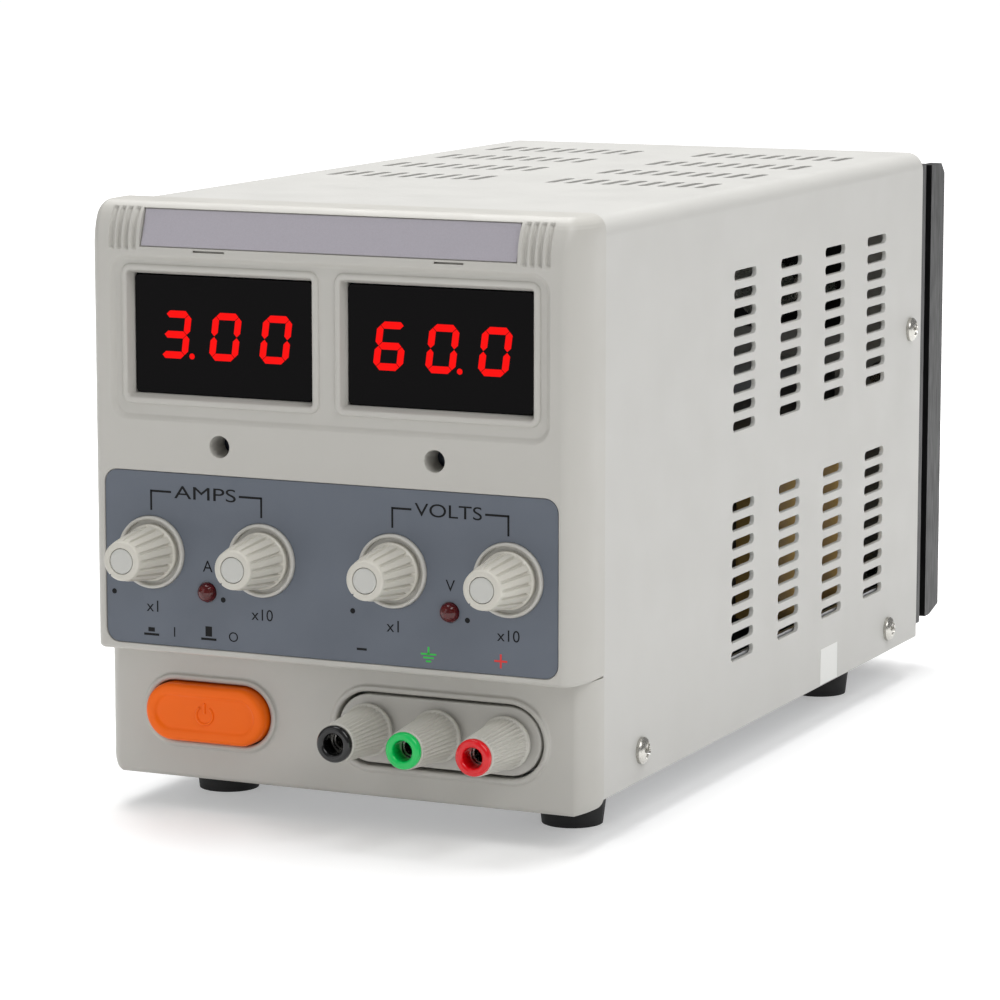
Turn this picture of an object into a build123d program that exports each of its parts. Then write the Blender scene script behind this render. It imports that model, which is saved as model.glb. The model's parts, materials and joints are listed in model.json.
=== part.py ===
from build123d import *
import os

# Bench power supply, millimetres.  +X is to the right of someone facing the controls,
# +Y runs from the controls to the back, +Z is up.  While it is being built, Y = 0 is the
# face of the upper front panel and Z = 0 the table; the last step moves every node back
# so that the origin is the middle of the footprint.

# ---- case -------------------------------------------------------------------------
cover_width = 136.0
cover_height = 145.5
cover_depth = 240.7
cover_edge_radius = 5.0
sheet = 1.2
foot_height = 12.1
cover_fit = 0.2            # gap between the cover and what it slides over
pan_flange_height = 20.0
front_frame_border = 9.0
rear_tab_width = 16.0
rear_tab_depth = 18.0

# ---- front bezel ------------------------------------------------------------------
bezel_depth = 17.1
bezel_side_proud = 0.5
bezel_top_proud = 1.0
bezel_below_cover = 2.8
bezel_wall = 2.6
bezel_corner_across = 4.6  # the front corners are quarter ellipses, seen from above
bezel_corner_depth = 12.0
bezel_low_corner_depth = 8.6
bezel_edge_radius = 4.0
bezel_brow_depth = 3.0     # how far the top leans back
bezel_brow_height = 10.6
step_height = 43.4         # height of the step between lower and upper front
step_back = 7.9            # the lower front stands this far behind the upper one
boss_radius = 3.2
boss_bore = 1.3

# ---- name strip -------------------------------------------------------------------
strip_width = 104.0
strip_height = 9.4
strip_thickness = 0.5
strip_margin = 0.6         # between the strip and the lower end of the brow

# ---- displays ---------------------------------------------------------------------
display_frame_width = 122.6
display_frame_low = 103.0
display_frame_height = 42.4
display_frame_depth = 1.2
display_frame_radius = 5.0
window_width = 50.6
window_height = 30.3
window_low = 109.9
window_spacing = 60.4      # centre to centre
window_thickness = 1.5
window_setback = 3.2
window_fit = 0.15
digit_block_width = 12.6
digit_block_height = 19.0
digit_block_depth = 8.0
digit_pitch = 14.5
digits_per_display = 3
digit_drop = 1.5           # digits sit a little below the middle of their window

# ---- boards -----------------------------------------------------------------------
board_thickness = 1.6
board_gap = 0.3            # air between a part and a board it isn't soldered to
display_board_low = 92.0
control_board_low = 46.5
control_board_high = 89.5
front_board_width = 124.0

# ---- controls ---------------------------------------------------------------------
fascia_width = 127.4
fascia_low = 44.9
fascia_high = 90.5
fascia_thickness = 0.5
fascia_corner = 4.0
fascia_setback = 0.3       # the fascia lies this far below the rim round it
knob_height = 69.25
knob_inner = 18.33         # distance of the inner knobs from the middle
knob_outer = 49.94
well_radius = 8.4
well_rim = 0.95            # wall of the collar round each well
well_proud = 0.8
well_depth = 3.2
well_floor = 2.0
knob_base_radius = 7.5
knob_front_radius = 5.1
knob_front = 15.6          # from the upper front face to the knob's front
knob_skirt = 2.4
knob_flutes = 16
flute_depth = 0.7
flute_width = 1.3
knob_well_gap = 0.7        # from the knob's back to the bottom of the well
cap_radius = 3.3
cap_thickness = 1.4
cap_fit = 0.05
shaft_radius = 3.0
shaft_engagement = 10.0    # length of shaft inside the knob
shaft_fit = 0.05           # running fit of the shaft in its bush
pot_radius = 8.2
pot_length = 8.0
bush_radius = 3.5
bush_fit = 0.1
pot_shaft_depth = 4.0      # how far the shaft reaches into the body

led_spacing = 68.0
led_height = 60.0
led_radius = 2.5
led_flange_radius = 2.9
led_flange_thickness = 1.0
led_length = 8.6
led_proud = 2.2
led_fit = 0.15
lead_size = 0.5
lead_pitch = 2.54

trimmer_spacing = 60.0
trimmer_height = 97.5
trimmer_hole_radius = 2.75
trimmer_body = 9.6
trimmer_body_depth = 4.8
trimmer_screw_radius = 1.2
trimmer_screw_length = 1.5

# ---- power button -----------------------------------------------------------------
button_x = -37.5
low_row_height = 27.1      # height of the button and the terminals
button_length = 34.5
button_height = 15.0
button_proud = 4.0         # from the lower front face to the button's front
button_depth = 9.0
button_wall = 1.6
button_dish = 0.6
button_fit = 0.4
collar_wall = 1.5
collar_proud = 1.0
collar_sleeve = 4.0
button_out_travel = 4.0
button_in_travel = 1.0
plunger_width = 4.0
plunger_inside = 12.0      # length of plunger inside the switch
plunger_fit = 0.3
switch_width = 16.0
switch_height = 14.0
switch_length = 24.0

# ---- output terminals ---------------------------------------------------------------
terminal_x = 27.6
terminal_pitch = 19.0
terminal_collar_length = 60.5
terminal_collar_height = 22.0
terminal_plate_gap = 0.7
terminal_plate_proud = 0.4
socket_radius = 2.0
socket_depth = 20.0
post_radius = 3.0
post_recess = 4.0          # the post's tip lies this far behind the nut's front
post_flange_radius = 5.2
post_flange = 1.0
stud_radius = 2.0
stud_length = 14.0
stud_hole_clearance = 0.3
nut_flange_radius = 6.8
nut_flange = 1.2
nut_front_radius = 5.0
nut_length = 18.5
nut_gap = 0.3              # between the tight nut and the post's flange
nut_ribs = 30
rib_depth = 0.35
rib_width = 0.6
thread_fit = 0.1
ring_radius = 4.7
ring_bore = 2.6
ring_thickness = 1.8
ring_stem_radius = 4.0
ring_stem_length = 3.6
ring_gap = 0.1
rear_nut_across = 8.0
rear_nut_height = 3.2

# ---- inside -------------------------------------------------------------------------
transformer_x = 20.0
transformer_y = 199.0
core_stack = 50.0          # across, in X
core_length = 96.0         # along Y
core_height = 80.0
core_limb = 16.0
core_middle = 32.0
coil_overhang = 13.0
coil_clearance = 0.3
bracket_sheet = 1.5
bracket_foot = 10.0
bracket_strap = 30.0
transformer_bolt_radius = 2.0
main_board_y0 = 30.0
main_board_y1 = 136.0
main_board_width = 118.0
standoff_height = 8.0
standoff_radius = 3.0
standoff_inset = 6.0
capacitor_radius = 15.0
capacitor_height = 50.0
capacitor_x = (-38.0, -4.0)
capacitor_y = 100.0
rectifier_size = 28.0
rectifier_height = 10.0
rectifier_x = 36.0
rectifier_y = 100.0

# ---- back -----------------------------------------------------------------------------
sink_right = 67.0
sink_left = -24.0
sink_low = 15.4
sink_high = 154.0
sink_base = 6.0
sink_fin_length = 17.2
sink_fin = 1.8
sink_fins = 13
sink_end_lip = 12.0        # outer part of the end fins, which is thicker
sink_fin_inset = 0.8       # fins end this far inside the base, top and bottom
sink_bottom_cut = (8.0, 2.2)
sink_top_round = 3.0
transistor_x = 22.0
transistor_heights = (116.0, 136.0)
transistor_pitch = 30.0
transistor_can_radius = 9.5
transistor_can = 7.0
transistor_base = 1.6
transistor_window_margin = 3.0
sink_screw_radius = 2.0

service_x = -46.0          # column of inlet, fuse and selector
inlet_height = 40.0
inlet_width = 27.2
inlet_body_height = 19.4
inlet_flange_width = 50.0
inlet_flange_height = 24.0
inlet_flange = 3.0
inlet_depth = 22.0
cavity_width = 24.4
cavity_height = 16.6
cavity_depth = 17.0
inlet_corner = 4.0
pin_length = 12.0
pin_thick = 2.0
pin_wide = 4.0
pin_spacing = 14.0
pin_offset = 2.0
fuse_height = 82.0
fuse_flange_radius = 9.0
fuse_flange = 3.0
fuse_body_radius = 6.4
fuse_body_length = 28.0
fuse_bore = 4.6
fuse_cap_radius = 7.2
fuse_cap_length = 9.0
fuse_cap_stem_radius = 4.2
fuse_cap_stem = 14.0
fuse_cap_gap = 0.3
selector_height = 116.0
selector_width = 24.0
selector_body_height = 13.0
selector_flange_width = 36.0
selector_flange_height = 17.0
selector_flange = 1.5
selector_depth = 12.0
selector_slot_width = 14.0
selector_slot_height = 6.4
selector_slot_depth = 4.0
selector_key = 6.0
selector_key_thickness = 2.6
selector_travel = 6.0
selector_fit = 0.35
panel_fit = 0.3            # gap of a rear part in its hole in the panel

# ---- feet, screws and label -----------------------------------------------------------
foot_top_radius = 9.4
foot_bottom_radius = 7.9
foot_x = 49.8
foot_y = (40.4, 223.0)
foot_counterbore = 4.2
foot_counterbore_depth = 7.0
foot_hole_clearance = 0.3
screw_shank = 1.9
screw_head = 3.5
screw_head_height = 2.2
screw_clearance = 0.2
screw_bite = 6.0
side_screws = ((42.2, 19.9), (231.4, 18.9), (248.0, 106.1))
bezel_screw_head = 2.6
bezel_screw_shank = 1.2
bezel_screw_spacing = 118.0
bezel_screw_heights = (17.5, 148.5)
label_width = 13.7
label_height = 10.2
label_thickness = 0.1
label_y = 174.3
label_low = 12.4

# ---- sizes that follow from those above -------------------------------------------------
half_cover = cover_width / 2
cover_low = foot_height
cover_top = cover_low + cover_height
cover_front = bezel_depth
cover_back = cover_front + cover_depth
half_bezel = half_cover + bezel_side_proud
bezel_low = cover_low - bezel_below_cover
bezel_top = cover_top + bezel_top_proud
half_inside = half_cover - sheet - cover_fit
inside_top = cover_top - sheet - cover_fit
pan_top = cover_low + sheet
frame_back = bezel_depth + sheet
knob_x = (-knob_outer, -knob_inner, knob_inner, knob_outer)
knob_names = ("current_fine", "current_coarse", "voltage_fine", "voltage_coarse")
terminal_names = ("negative", "ground", "positive")
terminal_xs = [terminal_x + (i - 1) * terminal_pitch for i in range(3)]
window_xs = (-window_spacing / 2, window_spacing / 2)
sides = ("left", "right")
well_bottom = well_depth
pot_front = well_bottom + well_floor
pot_back = pot_front + pot_length
control_board_front = pot_back
window_front = window_setback
window_back = window_front + window_thickness
digits_front = window_back + board_gap
display_board_front = digits_front + digit_block_depth
digits_z = window_low + window_height / 2 - digit_drop
button_front = step_back - button_proud
button_back = button_front + button_depth
plate_front = step_back - terminal_plate_proud
nut_back = plate_front - post_flange - nut_gap
nut_front = nut_back - nut_length
post_tip = nut_front + post_recess
sink_front = cover_back
sink_back = sink_front + sink_base + sink_fin_length
to_origin = -((sink_back - knob_front) / 2)

nodes = {}


def block(x0, x1, y0, y1, z0, z1):
    """A box between two corners."""
    centre = ((x0 + x1) / 2, (y0 + y1) / 2, (z0 + z1) / 2)
    return Pos(*centre) * Box(abs(x1 - x0), abs(y1 - y0), abs(z1 - z0))


def rod(x, z, radius, y0, y1, end_radius=None):
    """A round bar along Y, tapered when its end at y1 has another radius."""
    place = Pos(x, (y0 + y1) / 2, z) * Rot(-90 if y1 > y0 else 90, 0, 0)
    if end_radius is None:
        return place * Cylinder(radius, abs(y1 - y0))
    return place * Cone(radius, end_radius, abs(y1 - y0))


def side_rod(x0, x1, y, z, radius):
    """A round bar along X."""
    return Pos((x0 + x1) / 2, y, z) * Rot(0, 90, 0) * Cylinder(radius, abs(x1 - x0))


def post(x, y, radius, z0, z1, end_radius=None):
    """A round bar along Z."""
    place = Pos(x, y, (z0 + z1) / 2)
    if end_radius is None:
        return place * Cylinder(radius, abs(z1 - z0))
    return place * Cone(radius, end_radius, abs(z1 - z0))


def facing(sketch, x, z, y0, y1):
    """A front-view outline at (x, z), carried from y0 to y1."""
    plane = Plane(origin=(x, y0, z), x_dir=(1, 0, 0), z_dir=(0, -1, 0))
    return extrude(plane * sketch, amount=y0 - y1)


def stadium(length, height, x, z, y0, y1):
    """A bar along Y whose outline has two straight sides and two round ends."""
    return facing(SlotOverall(length, height), x, z, y0, y1)


def rounded(width, height, radius, x, z, y0, y1):
    """A bar along Y with a rounded rectangular outline."""
    return facing(RectangleRounded(width, height, radius), x, z, y0, y1)


def row(start, step, count):
    return [start + i * step for i in range(count)]


# ---- top cover --------------------------------------------------------------------------
vent_length = 16.2
vent_width = 2.7
vent_pitch = 5.04
vents_in_group = 9
vent_columns = 4
vent_column_pitch = 34.93
vent_first_column = 113.0
vent_group_tops = (135.1, 73.0)
roof_vent_pitch = 5.4
roof_vent_first = 11.5
roof_vent_first_row = 119.0


def cover_vents():
    """Slots through both sides and the roof, long ways along Y."""
    columns = row(vent_first_column, vent_column_pitch, vent_columns)
    rows = [z for top in vent_group_tops for z in row(top, -vent_pitch, vents_in_group)]
    side_slot = SlotOverall(vent_length, vent_width)
    side_plane = Plane(origin=(0, 0, 0), x_dir=(0, 1, 0), z_dir=(1, 0, 0))
    side_cut = Sketch() + [Pos(y, z) * side_slot for y in columns for z in rows]
    cuts = extrude(side_plane * side_cut, amount=cover_width, both=True)
    across = row(roof_vent_first, roof_vent_pitch, vents_in_group)
    roof_slot = Rot(0, 0, 90) * SlotOverall(vent_length, vent_width)
    roof_rows = row(roof_vent_first_row, vent_column_pitch, vent_columns)
    roof_cut = Sketch() + [Pos(s * x, y) * roof_slot for x in across for s in (-1, 1)
                           for y in roof_rows]
    return cuts + Pos(0, 0, cover_top - 3 * sheet) * extrude(roof_cut, amount=6 * sheet)


def cover_shell(half_width, top, radius):
    """A bar along Y with the cover's section: square below, rounded above."""
    outline = Polyline((-half_width, cover_low - 1), (half_width, cover_low - 1),
                       (half_width, top), (-half_width, top), close=True)
    section = fillet(make_face(outline).vertices().group_by(Axis.Y)[-1], radius)
    return facing(section, 0, 0, cover_front, cover_back)


outer = cover_shell(half_cover, cover_top, cover_edge_radius)
inner = cover_shell(half_cover - sheet, cover_top - sheet, cover_edge_radius - sheet)
top_cover = outer - inner
top_cover -= block(-half_bezel, half_bezel, cover_front, cover_back, 0, cover_low)
top_cover -= cover_vents()
for y, z in side_screws:
    top_cover -= side_rod(-half_bezel, half_bezel, y, z, screw_shank + screw_clearance)
nodes["top_cover"] = top_cover

# ---- base pan: floor, side flanges and the frame that the bezel screws to ----------------
pan = block(-half_inside, half_inside, cover_front, cover_back - sheet, cover_low, pan_top)
for side in (-1, 1):
    pan += block(side * half_inside, side * (half_inside - sheet), cover_front,
                 cover_back - sheet, cover_low, cover_low + pan_flange_height)
frame_corner = cover_edge_radius - sheet
frame_middle = (cover_low + inside_top) / 2
frame_height = inside_top - cover_low
frame = rounded(2 * half_inside, frame_height, frame_corner, 0, frame_middle,
                bezel_depth, frame_back)
frame += block(-half_inside, half_inside, bezel_depth, frame_back, cover_low,
               cover_low + pan_flange_height)
window_top = inside_top - front_frame_border
frame -= block(-half_inside + front_frame_border, half_inside - front_frame_border,
               bezel_depth, frame_back, step_height, window_top)
pan += frame
for y in foot_y:
    for side in (-1, 1):
        pan -= post(side * foot_x, y, screw_shank + screw_clearance, 0, pan_top + 1)
for y, z in side_screws[:2]:
    pan -= side_rod(-half_cover, half_cover, y, z, screw_shank)
pan -= block(button_x - plunger_width, button_x + plunger_width, bezel_depth, frame_back,
             low_row_height - plunger_width, low_row_height + plunger_width)
for x in terminal_xs:
    pan -= rod(x, low_row_height, stud_radius + stud_hole_clearance, bezel_depth, frame_back)
for z in bezel_screw_heights:
    for side in (-1, 1):
        pan -= rod(side * bezel_screw_spacing / 2, z, bezel_screw_shank + screw_clearance,
                   bezel_depth, frame_back)
nodes["base_pan"] = pan

# ---- rear panel --------------------------------------------------------------------------
panel_front = cover_back - sheet
panel = rounded(2 * half_inside, frame_height, frame_corner, 0, frame_middle,
                panel_front, cover_back)
panel += block(-half_inside, half_inside, panel_front, cover_back, cover_low, frame_middle)
tab_y, tab_z = side_screws[2]
for side in (-1, 1):
    panel += block(side * half_inside, side * (half_inside - sheet),
                   cover_back - rear_tab_depth, cover_back,
                   tab_z - rear_tab_width / 2, tab_z + rear_tab_width / 2)
panel -= side_rod(-half_cover, half_cover, tab_y, tab_z, screw_shank)
transistor_low = transistor_heights[0] - transistor_can_radius - transistor_window_margin
transistor_high = transistor_heights[1] + transistor_can_radius + transistor_window_margin
window_reach = transistor_pitch / 2 + 7 + transistor_window_margin
panel -= block(transistor_x - window_reach, transistor_x + window_reach, panel_front,
               cover_back, transistor_low, transistor_high)
panel -= rounded(inlet_width + 2 * panel_fit, inlet_body_height + 2 * panel_fit,
                 inlet_corner, service_x, inlet_height, panel_front, cover_back)
panel -= rod(service_x, fuse_height, fuse_body_radius + panel_fit, panel_front, cover_back)
panel -= block(service_x - selector_width / 2 - panel_fit,
               service_x + selector_width / 2 + panel_fit, panel_front, cover_back,
               selector_height - selector_body_height / 2 - panel_fit,
               selector_height + selector_body_height / 2 + panel_fit)
sink_screw_xs = (transistor_x - 35, transistor_x + 35)
sink_screw_zs = (sink_low + 15, transistor_low - 12)
for x in sink_screw_xs:
    for z in sink_screw_zs:
        panel -= rod(x, z, sink_screw_radius + screw_clearance, panel_front, cover_back)
nodes["rear_panel"] = panel


# ---- front bezel ---------------------------------------------------------------------------
def bezel_plan(front, corner_depth, inset, z0, z1):
    """The bezel's plan with its front face at `front`, raised from z0 to z1."""
    half = half_bezel - inset
    across = bezel_corner_across - inset
    deep = corner_depth - inset
    face_y = front + inset
    right = EllipticalCenterArc((half - across, face_y + deep), across, deep, 270, arc_size=90)
    left = EllipticalCenterArc((across - half, face_y + deep), across, deep, 180, arc_size=90)
    edges = [left, Line(left @ 1, right @ 0), right,
             Polyline(right @ 1, (half, bezel_depth), (-half, bezel_depth), left @ 0)]
    return Pos(0, 0, z0) * extrude(make_face(edges), amount=z1 - z0)


def bezel_body(inset):
    """The bezel's outer form, or with an inset the hollow behind its wall.

    It is what three outlines have in common: seen from above, with large front corners;
    from the side, with the leaning brow and the stepped-back foot; and from the front.
    """
    half = half_bezel - inset
    low = bezel_low + inset
    top = bezel_top - inset
    upper = bezel_plan(0, bezel_corner_depth, inset, step_height + inset, top)
    lower = bezel_plan(step_back, bezel_low_corner_depth, inset, low, step_height + inset)
    solid = upper + lower
    brow = make_face(Polyline((inset - 1, top + 1), (inset - 1, top - bezel_brow_height),
                              (inset, top - bezel_brow_height),
                              (inset + bezel_brow_depth, top), (inset + bezel_brow_depth, top + 1),
                              close=True))
    side_plane = Plane(origin=(0, 0, 0), x_dir=(0, 1, 0), z_dir=(1, 0, 0))
    solid -= extrude(side_plane * brow, amount=half_bezel, both=True)
    edge = bezel_edge_radius - min(inset, bezel_edge_radius / 2)
    middle = (low + top) / 2
    return solid & rounded(2 * half, top - low, edge, 0, middle, 0, bezel_depth)


bezel = bezel_body(0) - bezel_body(bezel_wall)

# Wells, sleeves and bosses stand on the inside of the wall.
for x in knob_x:
    bezel += rod(x, knob_height, well_radius + well_rim, -well_proud, pot_front)
button_sleeve = (button_length + 2 * button_fit, button_height + 2 * button_fit)
bezel += stadium(button_sleeve[0] + 2 * collar_wall, button_sleeve[1] + 2 * collar_wall,
                 button_x, low_row_height, step_back - collar_proud,
                 step_back + bezel_wall + collar_sleeve)
bezel += stadium(terminal_collar_length, terminal_collar_height, terminal_x,
                 low_row_height, step_back - collar_proud, bezel_depth)
boss_fronts = (step_back + bezel_wall / 2, bezel_wall / 2)
for z, boss_front in zip(bezel_screw_heights, boss_fronts):
    for side in (-1, 1):
        bezel += rod(side * bezel_screw_spacing / 2, z, boss_radius, boss_front, bezel_depth)

# Display frame: a shallow recess, with a raised border round each window.
display_middle = display_frame_low + display_frame_height / 2
display_recess = rounded(display_frame_width, display_frame_height, display_frame_radius, 0,
                         display_middle, 0, display_frame_depth)
window_middle = window_low + window_height / 2
window_border = 2.6
bezel -= display_recess
for x in window_xs:
    bezel += rounded(window_width + 2 * window_border, window_height + 2 * window_border,
                     1.2, x, window_middle, display_frame_depth / 3, window_back)
for x in window_xs:
    bezel -= block(x - window_width / 2, x + window_width / 2, 0, window_front,
                   window_low, window_low + window_height)
    bezel -= block(x - window_width / 2 - window_fit, x + window_width / 2 + window_fit,
                   window_front, bezel_depth, window_low - window_fit,
                   window_low + window_height + window_fit)

# Recess for the fascia, which leaves the collars of the wells standing.
fascia_middle = (fascia_low + fascia_high) / 2
fascia_recess = rounded(fascia_width, fascia_high - fascia_low, fascia_corner, 0,
                        fascia_middle, 0, fascia_setback + fascia_thickness)
for x in knob_x:
    fascia_recess -= rod(x, knob_height, well_radius + well_rim, 0, bezel_depth)
bezel -= fascia_recess
for x in knob_x:
    bezel -= rod(x, knob_height, well_radius, -well_proud, well_bottom)
    bezel -= rod(x, knob_height, bush_radius + bush_fit, well_bottom, bezel_depth)
for side in (-1, 1):
    bezel -= rod(side * led_spacing / 2, led_height, led_radius + led_fit, 0, bezel_depth)
    bezel -= rod(side * trimmer_spacing / 2, trimmer_height, trimmer_hole_radius, 0,
                 bezel_depth)
bezel -= stadium(*button_sleeve, button_x, low_row_height, step_back - collar_proud,
                 bezel_depth)
plate_length = terminal_collar_length - 2 * collar_wall
plate_height = terminal_collar_height - 2 * collar_wall
bezel -= stadium(plate_length, plate_height, terminal_x, low_row_height,
                 step_back - collar_proud, bezel_depth)
for z in bezel_screw_heights:
    for side in (-1, 1):
        bezel -= rod(side * bezel_screw_spacing / 2, z, boss_bore,
                     step_back + bezel_wall + 1, bezel_depth)

# Recess for the name strip, in the leaning brow.
brow_angle = Edge.make_line((0, 0), (bezel_brow_height, bezel_brow_depth)).tangent_at(0)
brow_plane = Plane(origin=(0, 0, bezel_top - bezel_brow_height), x_dir=(1, 0, 0),
                   z_dir=(0, -brow_angle.X, brow_angle.Y))
strip_middle = strip_margin + strip_height / 2
strip_place = brow_plane * Pos(0, strip_middle, -strip_thickness / 2)
bezel -= strip_place * Box(strip_width + 2 * window_fit, strip_height + 2 * window_fit,
                           strip_thickness)
nodes["front_bezel"] = bezel
nodes["name_strip"] = strip_place * Box(strip_width, strip_height, strip_thickness)

# ---- control fascia --------------------------------------------------------------------------
fascia = rounded(fascia_width - 2 * window_fit, fascia_high - fascia_low - 2 * window_fit,
                 fascia_corner - window_fit, 0, fascia_middle, fascia_setback,
                 fascia_setback + fascia_thickness)
for x in knob_x:
    fascia -= rod(x, knob_height, well_radius + well_rim + window_fit, 0, bezel_depth)
for side in (-1, 1):
    fascia -= rod(side * led_spacing / 2, led_height, led_radius + led_fit, 0, bezel_depth)
nodes["control_fascia"] = fascia

# ---- display windows, digits and their board ----------------------------------------------------
for name, x in zip(sides, window_xs):
    nodes[f"display_window_{name}"] = block(x - window_width / 2, x + window_width / 2,
                                            window_front, window_back, window_low,
                                            window_low + window_height)
    blocks = []
    for i in range(digits_per_display):
        digit_x = x + (i - (digits_per_display - 1) / 2) * digit_pitch
        blocks.append(block(digit_x - digit_block_width / 2, digit_x + digit_block_width / 2,
                            digits_front, display_board_front,
                            digits_z - digit_block_height / 2,
                            digits_z + digit_block_height / 2))
    nodes[f"display_digits_{name}"] = Compound(children=blocks)

half_board = front_board_width / 2
display_board_top = bezel_top - bezel_wall - board_gap - bezel_brow_depth
display_board = block(-half_board, half_board, display_board_front,
                      display_board_front + board_thickness, display_board_low,
                      display_board_top)
control_board = block(-half_board, half_board, control_board_front,
                      control_board_front + board_thickness, control_board_low,
                      control_board_high)
for side in (-1, 1):
    x = side * bezel_screw_spacing / 2
    display_board -= rod(x, bezel_screw_heights[1], boss_radius + board_gap, 0, bezel_depth)
nodes["display_board"] = display_board
nodes["control_board"] = control_board

# ---- potentiometers, knobs and their caps ---------------------------------------------------------
pots = []
for x in knob_x:
    pot = rod(x, knob_height, pot_radius, pot_front, pot_back)
    pot += rod(x, knob_height, bush_radius, well_bottom + knob_well_gap / 2, pot_front)
    pot -= rod(x, knob_height, shaft_radius + shaft_fit, well_bottom,
               pot_front + pot_shaft_depth + board_gap)
    pots.append(pot)
nodes["pot_bodies"] = Compound(children=pots)

knob_back = well_bottom - knob_well_gap
skirt_front = knob_back - knob_skirt


def knob_at(x):
    """A fluted knob: a short skirt, then a cone, bored for its shaft and its cap."""
    knob = rod(x, knob_height, knob_base_radius, skirt_front, knob_back)
    cone = rod(x, knob_height, knob_base_radius - flute_depth / 2, skirt_front,
               -knob_front, knob_front_radius)
    knob += cone
    for i in range(knob_flutes):
        turn = Pos(x, 0, knob_height) * Rot(0, i * 360 / knob_flutes, 0)
        slope = (knob_base_radius - knob_front_radius) / (knob_front + skirt_front)
        lean = Rot(degrees_of(slope), 0, 0)
        radius = (knob_base_radius + knob_front_radius) / 2
        middle = (skirt_front - knob_front) / 2
        knob -= turn * Pos(0, middle, radius) * lean * Box(
            flute_width, knob_front + skirt_front + 1, 2 * flute_depth)
    knob -= rod(x, knob_height, shaft_radius + shaft_fit / 2, knob_back,
                knob_back - shaft_engagement)
    knob -= rod(x, knob_height, cap_radius + cap_fit, -knob_front + cap_thickness, -knob_front)
    return knob


def degrees_of(slope):
    """The angle whose tangent is the slope, in degrees."""
    return Vector(1, 0, 0).get_angle(Vector(1, slope, 0))


for name, x in zip(knob_names, knob_x):
    nodes[f"{name}_knob"] = knob_at(x)
    nodes[f"{name}_cap"] = rod(x, knob_height, cap_radius, -knob_front + cap_thickness,
                               -knob_front)
    nodes[f"{name}_shaft"] = rod(x, knob_height, shaft_radius, pot_front + pot_shaft_depth,
                                 knob_back - shaft_engagement)

# ---- mode lamps and meter trimmers ------------------------------------------------------------------
lamps = []
trimmers = []
led_back = led_length - led_proud
for side in (-1, 1):
    x = side * led_spacing / 2
    lamp = rod(x, led_height, led_radius, led_radius - led_proud, led_back)
    lamp += Pos(x, led_radius - led_proud, led_height) * Sphere(led_radius)
    lamp += rod(x, led_height, led_flange_radius, led_back - led_flange_thickness, led_back)
    for lead in (-1, 1):
        lead_x = x + lead * lead_pitch / 2
        lamp += block(lead_x - lead_size / 2, lead_x + lead_size / 2, led_back,
                      control_board_front, led_height - lead_size / 2,
                      led_height + lead_size / 2)
    lamps.append(lamp)
    x = side * trimmer_spacing / 2
    trimmer_front = display_board_front - trimmer_body_depth
    trimmer = block(x - trimmer_body / 2, x + trimmer_body / 2, trimmer_front,
                    display_board_front, trimmer_height - trimmer_body / 2,
                    trimmer_height + trimmer_body / 2)
    trimmer += rod(x, trimmer_height, trimmer_screw_radius,
                   trimmer_front - trimmer_screw_length, trimmer_front)
    trimmers.append(trimmer)
nodes["mode_lamps"] = Compound(children=lamps)
nodes["meter_trimmers"] = Compound(children=trimmers)

# ---- power button and switch ----------------------------------------------------------------------------
button = stadium(button_length, button_height, button_x, low_row_height, button_front,
                 button_back)
button -= stadium(button_length - 2 * button_wall, button_height - 2 * button_wall, button_x,
                  low_row_height, button_front + 2 * button_wall, button_back)
button -= stadium(button_length - 4 * button_wall, button_height - 4 * button_wall, button_x,
                  low_row_height, button_front, button_front + button_dish)
socket_half = plunger_width / 2 + button_wall
button += block(button_x - socket_half, button_x + socket_half, button_front + button_wall,
                button_back, low_row_height - socket_half, low_row_height + socket_half)
plunger_front = button_front + 2 * button_wall
plunger_half = plunger_width / 2
button -= block(button_x - plunger_half - cap_fit, button_x + plunger_half + cap_fit,
                plunger_front, button_back, low_row_height - plunger_half - cap_fit,
                low_row_height + plunger_half + cap_fit)
nodes["power_button"] = button
plunger_back = frame_back + plunger_inside
nodes["switch_plunger"] = block(button_x - plunger_half, button_x + plunger_half,
                                plunger_front, plunger_back,
                                low_row_height - plunger_half, low_row_height + plunger_half)
switch = block(button_x - switch_width / 2, button_x + switch_width / 2, frame_back,
               frame_back + switch_length, low_row_height - switch_height / 2,
               low_row_height + switch_height / 2)
guide = plunger_half + plunger_fit
switch -= block(button_x - guide, button_x + guide, frame_back,
                plunger_back + button_in_travel + plunger_fit, low_row_height - guide,
                low_row_height + guide)
nodes["power_switch"] = switch

# ---- output terminals ---------------------------------------------------------------------------------------
plate = stadium(plate_length - 2 * terminal_plate_gap, plate_height - 2 * terminal_plate_gap,
                terminal_x, low_row_height, plate_front, bezel_depth)
posts = []
rear_nuts = []
stud_end = frame_back + stud_length
for x in terminal_xs:
    plate -= rod(x, low_row_height, post_radius + stud_hole_clearance, plate_front, bezel_depth)
    screw = rod(x, low_row_height, post_radius, post_tip, bezel_depth)
    screw += rod(x, low_row_height, post_flange_radius, plate_front - post_flange, plate_front)
    screw += rod(x, low_row_height, stud_radius, bezel_depth, stud_end)
    screw -= rod(x, low_row_height, socket_radius, post_tip, post_tip + socket_depth)
    posts.append(screw)
    hexagon = RegularPolygon(rear_nut_across / 2, 6, major_radius=False)
    rear_nut = facing(hexagon, x, low_row_height, frame_back, frame_back + rear_nut_height)
    rear_nuts.append(rear_nut - rod(x, low_row_height, stud_radius + cap_fit, frame_back,
                                    stud_end))
nodes["terminal_plate"] = plate
nodes["terminal_posts"] = Compound(children=posts)
nodes["terminal_rear_nuts"] = Compound(children=rear_nuts)


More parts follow.
